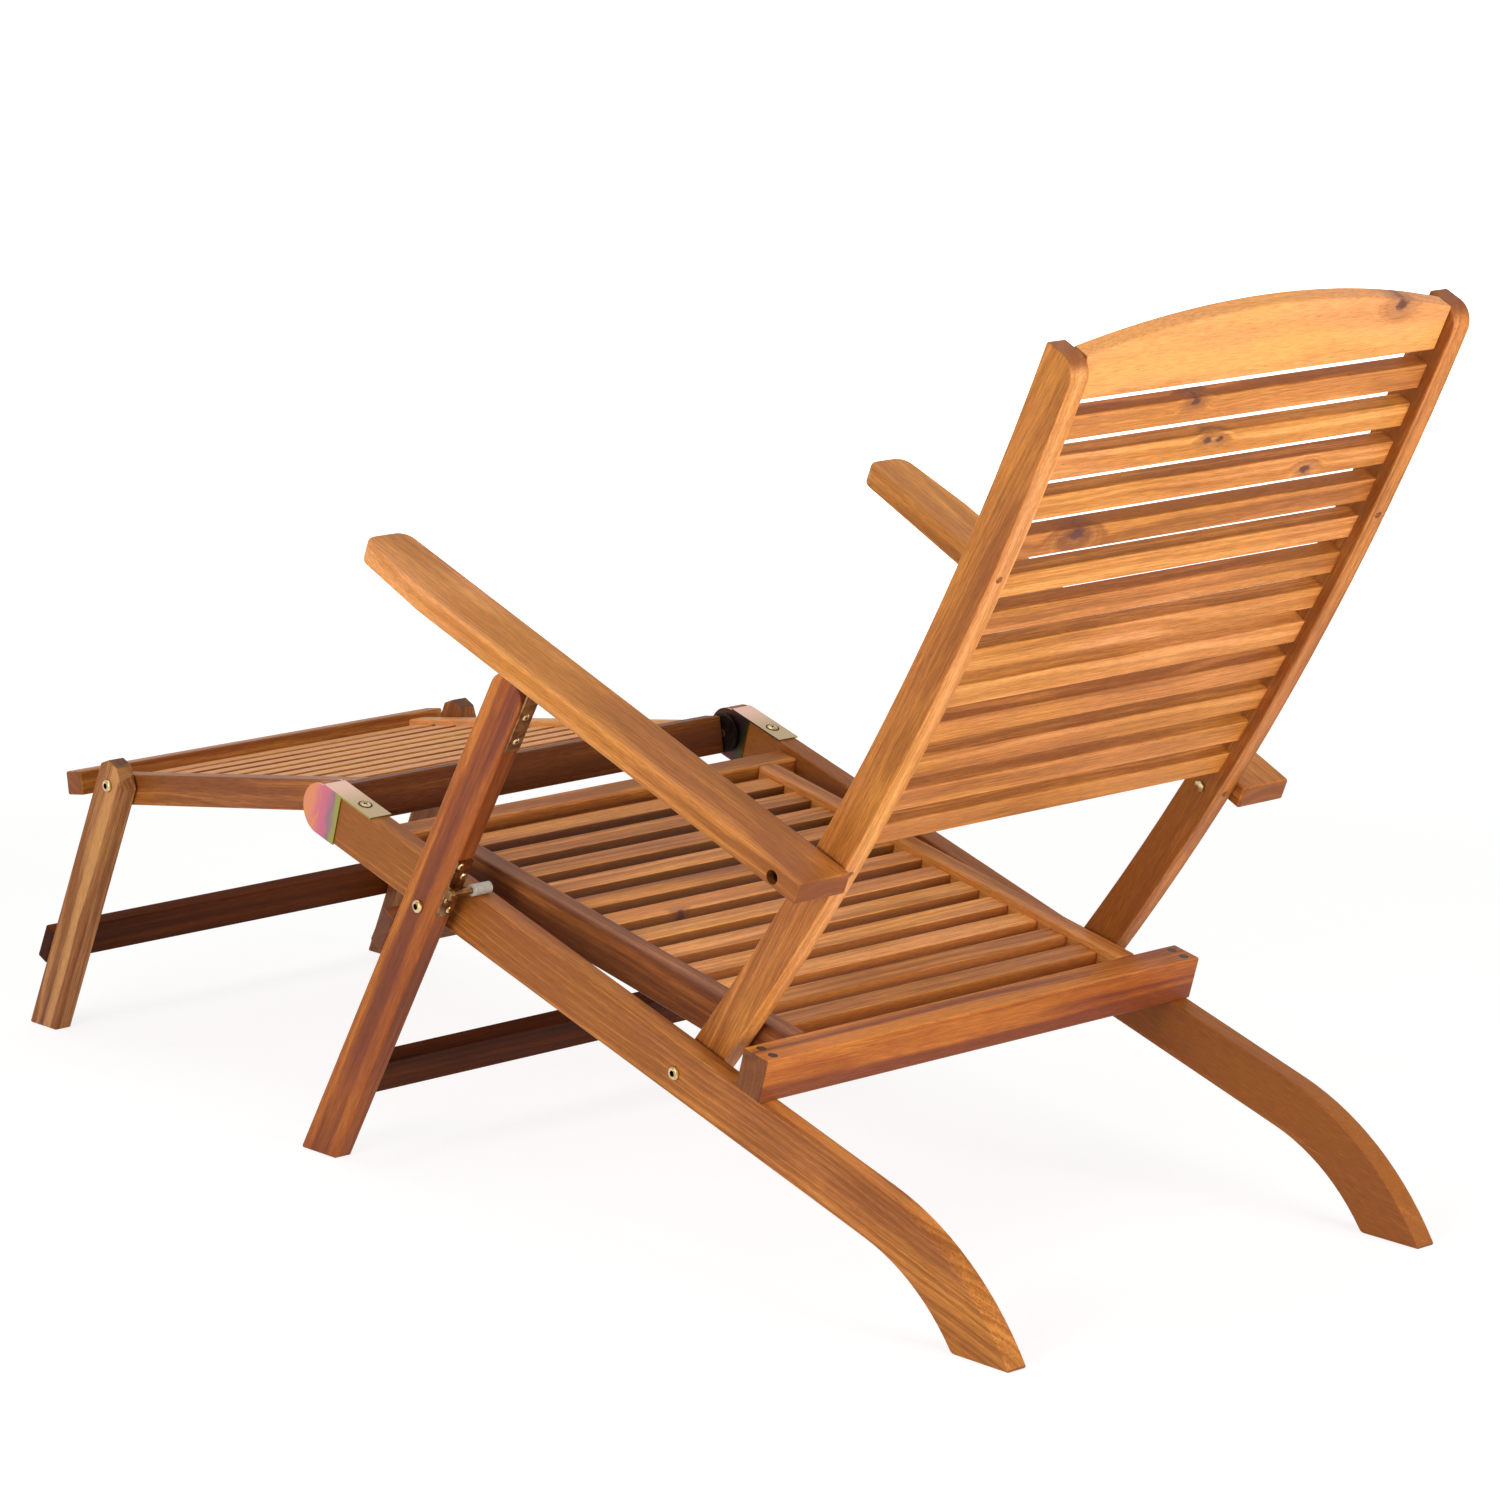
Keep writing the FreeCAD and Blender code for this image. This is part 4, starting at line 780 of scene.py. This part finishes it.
def socket_bolt(length, nut_height, head_finish):
    """A domed bolt with a dark six-sided socket, its shank and, with a nut height, its nut. The
    head's top is at the origin."""
    fittings = bpy.context.scene.chair_fittings
    bright = finish_of("screw_steel", screw_finish)
    head = cylinder(BOLT_HEAD_RADIUS, -BOLT_HEAD_HEIGHT, 0.0, 40)
    bevel_rim(head, 0.0, BOLT_HEAD_HEIGHT * BOLT_DOME, 6)
    dress(head, head_finish)
    socket = cylinder(fittings.socket_radius, -fittings.socket_depth, fittings.socket_depth, 6)
    # The socket walls take painted shade
    dress(socket, finish_of("socket_dark", socket_dark))
    cut_with(head, socket)
    shank = cylinder(BOLT_SHANK_RADIUS, -length + nut_height * 0.5, -BOLT_HEAD_HEIGHT, 24)
    dress(shank, bright)
    parts = [head, shank]
    if nut_height:
        nut = cylinder(NUT_RADIUS, -length, -length + nut_height, 6)
        bevel_rim(nut, -length, nut_height * 0.16, 2)
        dress(nut, bright)
        parts.append(nut)
    return parts


def bolt_pair(name, nodes, body, nut_height=NUT_HEIGHT, sunk=False):
    """New bolts for the bolts of these nodes, heads outwards on both sides of the chair. The head
    of a sunk bolt is blackened."""
    head_finish = finish_of("dark_steel", dark_steel) if sunk else finish_of("screw_steel", screw_finish)
    parts = []
    for node in nodes:
        for lump in lumps(node):
            side = 1.0 if sum(point.x for point in lump) > 0.0 else -1.0
            top, length = top_along(lump, (side, 0.0, 0.0))
            for part in socket_bolt(length, nut_height, head_finish):
                parts.append(placed(part, top, (side, 0.0, 0.0), BOLT_SPIN))
    piece = joined(parts, name)
    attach(piece, body)
    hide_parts(*nodes)


# The pieces, one operator for each group


class CHAIR_OT_base_timber(bpy.types.Operator):
    """Finish the side rails, the seat's boards and the seat's slats"""
    bl_idname = "chair.base_timber"
    bl_label = "Base timber"

    def execute(self, context):
        rail = side_direction(RAIL_SLOPE)
        seat = side_direction(SEAT_SLOPE)
        up = side_normal(SEAT_SLOPE)
        timber_board("side_rail_left", "honey", rail, ACROSS, seed=1.0, balance=-0.22,
                     pith=(0.0, -0.05, 0.03), fade=0.22)
        # The right rail's lower balance is partly darker wood and partly painted shade on its inner face
        timber_board("side_rail_right", "honey", rail, ACROSS, seed=2.3, balance=-0.46,
                     pith=(0.0, 0.06, -0.04))
        timber_board("seat_side_left", "walnut", seat, ACROSS, seed=3.1, balance=-0.12, streaks=0.5)
        timber_board("seat_side_right", "honey", seat, ACROSS, seed=4.7, balance=-0.05)
        timber_board("seat_front_plank", "honey", ACROSS, up, seed=5.2, balance=-0.2)
        # faces paints light on the rear rail's edges and slight shade on its broad faces
        timber_board("seat_rear_rail", "russet", ACROSS, rail, seed=6.9, balance=0.10, streaks=0.85,
                     pith=(0.0, 0.01, -0.09), fade=0.6, faces=(0.20, -0.04), ends="walnut")
        # faces paints shade on the slats' edges; shade deepens it at the front of the row and paints light at
        # the rear
        timber_board("seat_slats", "honey", ACROSS, up, seed=7.4, balance=0.12, streaks=0.5,
                     knots=SEAT_KNOTS, pitch=SLAT_PITCH, faces=(-0.7, 0.0), shade=(0.50, 1.25))
        return {"FINISHED"}


class CHAIR_OT_leg_timber(bpy.types.Operator):
    """Finish the front legs and their two bars"""
    bl_idname = "chair.leg_timber"
    bl_label = "Front leg timber"

    def execute(self, context):
        leg = side_direction(LEG_LEAN)
        timber_board("front_leg_left", "russet", leg, ACROSS, seed=11.0, balance=-0.14, streaks=0.9,
                     pith=(0.0, -0.01, -0.09), sapwood=FRONT_LEG_SAPWOOD, fade=0.15)
        timber_board("front_leg_right", "russet", leg, ACROSS, seed=12.4, balance=-0.04, streaks=0.6,
                     pith=(0.0, 0.02, -0.07))
        timber_board("front_leg_upper_bar", "walnut", ACROSS, side_normal(LEG_LEAN), seed=13.8,
                     balance=-0.05, streaks=0.4)
        timber_board("front_leg_lower_bar", "dusk", ACROSS, side_normal(LEG_LEAN), seed=14.3,
                     balance=0.06, streaks=0.5, gloss=0.04)
        return {"FINISHED"}


class CHAIR_OT_back_timber(bpy.types.Operator):
    """Finish the backrest: stiles, crest and slats, with the knots where they lie"""
    bl_idname = "chair.back_timber"
    bl_label = "Backrest timber"

    def execute(self, context):
        turn = math.degrees(BACK_LENGTH / BACK_CURVE)
        along = side_direction(BACK_LEAN + turn / 2)
        # faces paints light on the left stile's edges and shade on both stiles' broad sides
        timber_board("back_stile_left", "honey", along, ACROSS, seed=21.0, balance=0.06, streaks=0.15,
                     fade=0.1, faces=(0.16, -0.20))
        timber_board("back_stile_right", "honey", along, ACROSS, seed=22.7, balance=-0.14, fade=0.25,
                     faces=(0.0, -0.22))
        timber_board("back_crest", "honey", ACROSS, side_normal(BACK_LEAN + turn), seed=23.9, balance=0.40,
                     streaks=0.12, pith=(0.0, 0.02, -0.16), knots=BACK_KNOTS["back_crest"])
        for number, tone in enumerate(SLAT_TONES):
            node = "back_slat_%02d" % (number + 1)
            height = BACK_LENGTH - TOP_SLAT_BELOW_TOP - SLAT_PITCH * number
            face = side_normal(BACK_LEAN + math.degrees(height / BACK_CURVE))
            # faces paints shade on each slat's edges
            timber_board(node, "honey", ACROSS, face, seed=25.0 + 1.7 * number, balance=tone, streaks=0.22,
                         pith=(0.0, -0.03 - 0.01 * (number % 3), -0.05 - 0.013 * (number % 4)),
                         knots=BACK_KNOTS.get(node, ()), faces=(-0.24, 0.0))
        return {"FINISHED"}


class CHAIR_OT_arm_timber(bpy.types.Operator):
    """Finish the armrests"""
    bl_idname = "chair.arm_timber"
    bl_label = "Armrest timber"

    def execute(self, context):
        for node, splay, seed, balance, fade in (("armrest_left", ARM_SPLAY, 41.0, 0.02, -0.95),
                                                 ("armrest_right", -ARM_SPLAY, 42.6, -0.06, -0.5)):
            turn = Quaternion(side_normal(ARM_SLOPE), math.radians(splay))
            along = turn @ side_direction(ARM_SLOPE)
            timber_board(node, "honey", along, side_normal(ARM_SLOPE), seed, balance,
                         pith=(0.0, 0.012, -0.07), fade=fade)
        return {"FINISHED"}


class CHAIR_OT_footrest_timber(bpy.types.Operator):
    """Finish the footrest, its slats, its legs and their crossbar"""
    bl_idname = "chair.footrest_timber"
    bl_label = "Footrest timber"

    def execute(self, context):
        rest = side_direction(FOOTREST_SLOPE)
        up = side_normal(FOOTREST_SLOPE)
        leg = side_direction(FOOTREST_LEG_LEAN)
        timber_board("footrest_side_left", "honey", rest, ACROSS, seed=51.0, balance=-0.24, streaks=0.5)
        timber_board("footrest_side_right", "honey", rest, ACROSS, seed=52.2, balance=0.3, streaks=0.2)
        timber_board("footrest_front_rail", "honey", ACROSS, up, seed=53.5, balance=-0.12, streaks=0.4)
        # The dark walnut balance is painted shade: the rail lies in the shadow of the seat and armrests
        timber_board("footrest_rear_rail", "walnut", ACROSS, rest, seed=54.1, balance=-0.34, streaks=0.5,
                     gloss=0.06)
        # faces paints shade on the slats' edges
        timber_board("footrest_slats", "honey", ACROSS, up, seed=55.8, balance=0.66, streaks=0.12,
                     pitch=FOOTREST_SLAT_PITCH, faces=(-0.7, 0.0))
        timber_board("footrest_leg_left", "walnut", leg, ACROSS, seed=56.3, balance=0.12, streaks=0.4,
                     pith=(0.0, -0.01, -0.04), sapwood=FOOT_LEG_SAPWOOD)
        timber_board("footrest_leg_right", "walnut", leg, ACROSS, seed=57.9, streaks=0.5)
        timber_board("footrest_leg_bar", "dusk", ACROSS, side_normal(FOOTREST_LEG_LEAN), seed=58.4,
                     balance=0.42, streaks=0.5, gloss=0.05)
        return {"FINISHED"}


class CHAIR_OT_plugs(bpy.types.Operator):
    """Finish the dowels that plug the screw holes"""
    bl_idname = "chair.plugs"
    bl_label = "Plugs"

    def execute(self, context):
        dress_nodes("plug_end_grain", plug_finish, "seat_rear_rail_plugs")
        dress_nodes("pale_plug", plug_finish, "back_stile_plugs")
        return {"FINISHED"}


class CHAIR_OT_plates(bpy.types.Operator):
    """Finish the caps, plates, leaves, pins, spacers and sleeves"""
    bl_idname = "chair.plates"
    bl_label = "Plates and pins"

    def execute(self, context):
        dress_nodes("cap_plating", cap_plating, "hinge_cap_left", "hinge_cap_right")
        dress_nodes("plated_steel", plated, "stop_plates", "leg_hinge_leaves", "arm_hinge_leaf_left",
                    "arm_hinge_leaf_right", "leg_pivot_spacers", "back_pivot_washers", "stop_pins")
        # The footrest discs' dark steel is partly painted shade
        dress_nodes("dark_steel", dark_steel, "footrest_discs")
        dress_nodes("screw_steel", screw_finish, "hinge_pins")
        dress_nodes("sleeve_plastic", sleeve_finish, "stop_sleeves")
        return {"FINISHED"}


class CHAIR_OT_bolts(bpy.types.Operator):
    """Model the pivot bolts with their domed heads, sockets and nuts"""
    bl_idname = "chair.bolts"
    bl_label = "Bolts"

    def execute(self, context):
        bolt_pair("leg_bolts", ["leg_pivot_bolts"], "base")
        bolt_pair("back_bolts", ["back_pivot_bolts"], "base")
        bolt_pair("footrest_bolts", ["footrest_leg_bolts"], "footrest_legs", nut_height=0.0)
        bolt_pair("arm_bolt_left_set", ["arm_bolt_left"], "armrest_left", sunk=True)
        bolt_pair("arm_bolt_right_set", ["arm_bolt_right"], "armrest_right", sunk=True)
        return {"FINISHED"}


class CHAIR_OT_screws(bpy.types.Operator):
    """Model the screws with crossed recesses"""
    bl_idname = "chair.screws"
    bl_label = "Screws"

    def execute(self, context):
        rear = -side_normal(LEG_LEAN)
        under = -side_normal(ARM_SLOPE)
        screw_set("cap_screws", ["hinge_cap_screws"], side_normal(RAIL_SLOPE), "base", **CAP_SCREW)
        screw_set("stop_screws", ["stop_plate_screws"], rear, "front_legs", **SMALL_SCREW)
        screw_set("leaf_screws", ["leg_hinge_screws"], rear, "front_legs", **SMALL_SCREW)
        screw_set("arm_screws_left", ["arm_hinge_screws_left"], under, "armrest_left", **SMALL_SCREW)
        screw_set("arm_screws_right", ["arm_hinge_screws_right"], under, "armrest_right", **SMALL_SCREW)
        return {"FINISHED"}


class CHAIR_OT_stage(bpy.types.Operator):
    """Set up the floor, the lamps and the camera"""
    bl_idname = "chair.stage"
    bl_label = "Stage"

    def execute(self, context):
        stage = context.scene.chair_stage
        build_floor()
        build_surround(stage.surround)
        for name, place, aim_height, size in LAMPS:
            lamp(name + "_lamp", place, (0.0, 0.0, aim_height), size, getattr(stage, name + "_power"))
        camera = bpy.data.objects.new("camera", bpy.data.cameras.new("camera"))
        context.scene.collection.objects.link(camera)
        camera.data.sensor_width = SENSOR_WIDTH
        camera.data.lens = stage.lens
        camera.data.clip_end = CAMERA_REACH
        camera.location = CAMERA_PLACE
        roll = Quaternion((0.0, 0.0, 1.0), math.radians(CAMERA_ROLL))
        camera.rotation_mode = "QUATERNION"
        camera.rotation_quaternion = Vector(CAMERA_FORWARD).to_track_quat("-Z", "Y") @ roll
        context.scene.camera = camera
        context.scene.view_settings.view_transform = "Standard"
        return {"FINISHED"}


def background_share(bench):
    """One for the rays that see the backdrop itself: the camera's and mirror-like ones."""
    rays = bench.add("ShaderNodeLightPath").outputs
    share = bench.math("MAXIMUM", rays["Is Camera Ray"], rays["Is Glossy Ray"])
    return bench.math("MAXIMUM", share, rays["Is Transmission Ray"])


def build_floor():
    """A wide pale floor that glows towards its far parts, so that it runs into the white backdrop."""
    clear_bench()
    bpy.ops.mesh.primitive_plane_add(size=FLOOR_SIZE, location=(0.0, 0.0, 0.0))
    floor = bpy.context.object
    floor.name = "floor"
    bpy.ops.object.mode_set(mode="EDIT")
    bpy.ops.mesh.subdivide(number_cuts=5)
    bpy.ops.object.mode_set(mode="OBJECT")
    material = bpy.data.materials.new("studio_floor")
    material.use_nodes = True
    material.node_tree.nodes.clear()
    bench = Bench(material.node_tree)
    place = bench.own_place()
    mottle = bench.noise(bench.scaled(place, 3.0), 2.0)
    paper = bench.mix(mottle, *FLOOR_PAPER)
    camera_ray = bench.add("ShaderNodeLightPath").outputs["Is Camera Ray"]
    paper = bench.mix(camera_ray, FLOOR_BOUNCE, paper)
    matt = bench.add("ShaderNodeBsdfDiffuse", {"Color": paper}).outputs[0]
    glow = bench.add("ShaderNodeEmission", {"Color": WHITE, "Strength": FLOOR_GLOW}).outputs[0]
    reach = bench.spread(bench.vector("LENGTH", place), *GLOW_FROM_TO, *GLOW_SHARE)
    seen = bench.math("MULTIPLY", background_share(bench), reach)
    both = bench.add("ShaderNodeMixShader", {0: seen, 1: matt, 2: glow}).outputs[0]
    bench.add("ShaderNodeOutputMaterial", {"Surface": both})
    dress(floor, material)


def build_surround(strength):
    """Even light all round, behind a white backdrop."""
    world = bpy.data.worlds.new("studio")
    bpy.context.scene.world = world
    world.use_nodes = True
    world.node_tree.nodes.clear()
    bench = Bench(world.node_tree)
    even = bench.add("ShaderNodeBackground", {"Color": WHITE, "Strength": strength}).outputs[0]
    white = bench.add("ShaderNodeBackground", {"Color": WHITE, "Strength": 1.0}).outputs[0]
    both = bench.add("ShaderNodeMixShader", {0: background_share(bench), 1: even, 2: white}).outputs[0]
    bench.add("ShaderNodeOutputWorld", {"Surface": both})


def lamp(name, place, target, size, power):
    """A round lamp that looks from a place at a target."""
    light = bpy.data.lights.new(name, "AREA")
    light.shape = "DISK"
    light.size = size
    light.energy = power
    holder = bpy.data.objects.new(name, light)
    bpy.context.scene.collection.objects.link(holder)
    holder.location = place
    holder.visible_camera = False
    holder.rotation_mode = "QUATERNION"
    holder.rotation_quaternion = (Vector(target) - Vector(place)).to_track_quat("-Z", "Y")


STEPS = (CHAIR_OT_stage, CHAIR_OT_base_timber, CHAIR_OT_leg_timber, CHAIR_OT_back_timber, CHAIR_OT_arm_timber,
         CHAIR_OT_footrest_timber, CHAIR_OT_plugs, CHAIR_OT_plates, CHAIR_OT_bolts, CHAIR_OT_screws)


class CHAIR_PT_panel(bpy.types.Panel):
    """Lists the chair's settings and the steps that build it"""
    bl_idname = "CHAIR_PT_panel"
    bl_label = "Deck chair"
    bl_space_type = "VIEW_3D"
    bl_region_type = "UI"
    bl_category = "Deck chair"

    def draw(self, context):
        for settings in (context.scene.chair_timber, context.scene.chair_fittings, context.scene.chair_stage):
            box = self.layout.box()
            for name in settings.__annotations__:
                box.prop(settings, name)
        for step in STEPS:
            self.layout.operator(step.bl_idname)


SETTINGS = {"chair_timber": ChairTimber, "chair_fittings": ChairFittings, "chair_stage": ChairStage}


def register():
    for name, group in SETTINGS.items():
        bpy.utils.register_class(group)
        setattr(bpy.types.Scene, name, PointerProperty(type=group))
    for step in (*STEPS, CHAIR_PT_panel):
        bpy.utils.register_class(step)


def unregister():
    for step in (CHAIR_PT_panel, *reversed(STEPS)):
        bpy.utils.unregister_class(step)
    for name, group in reversed(SETTINGS.items()):
        delattr(bpy.types.Scene, name)
        bpy.utils.unregister_class(group)


def main():
    register()
    for step in STEPS:
        getattr(bpy.ops.chair, step.bl_idname.split(".")[1])()


if __name__ == "__main__":
    main()
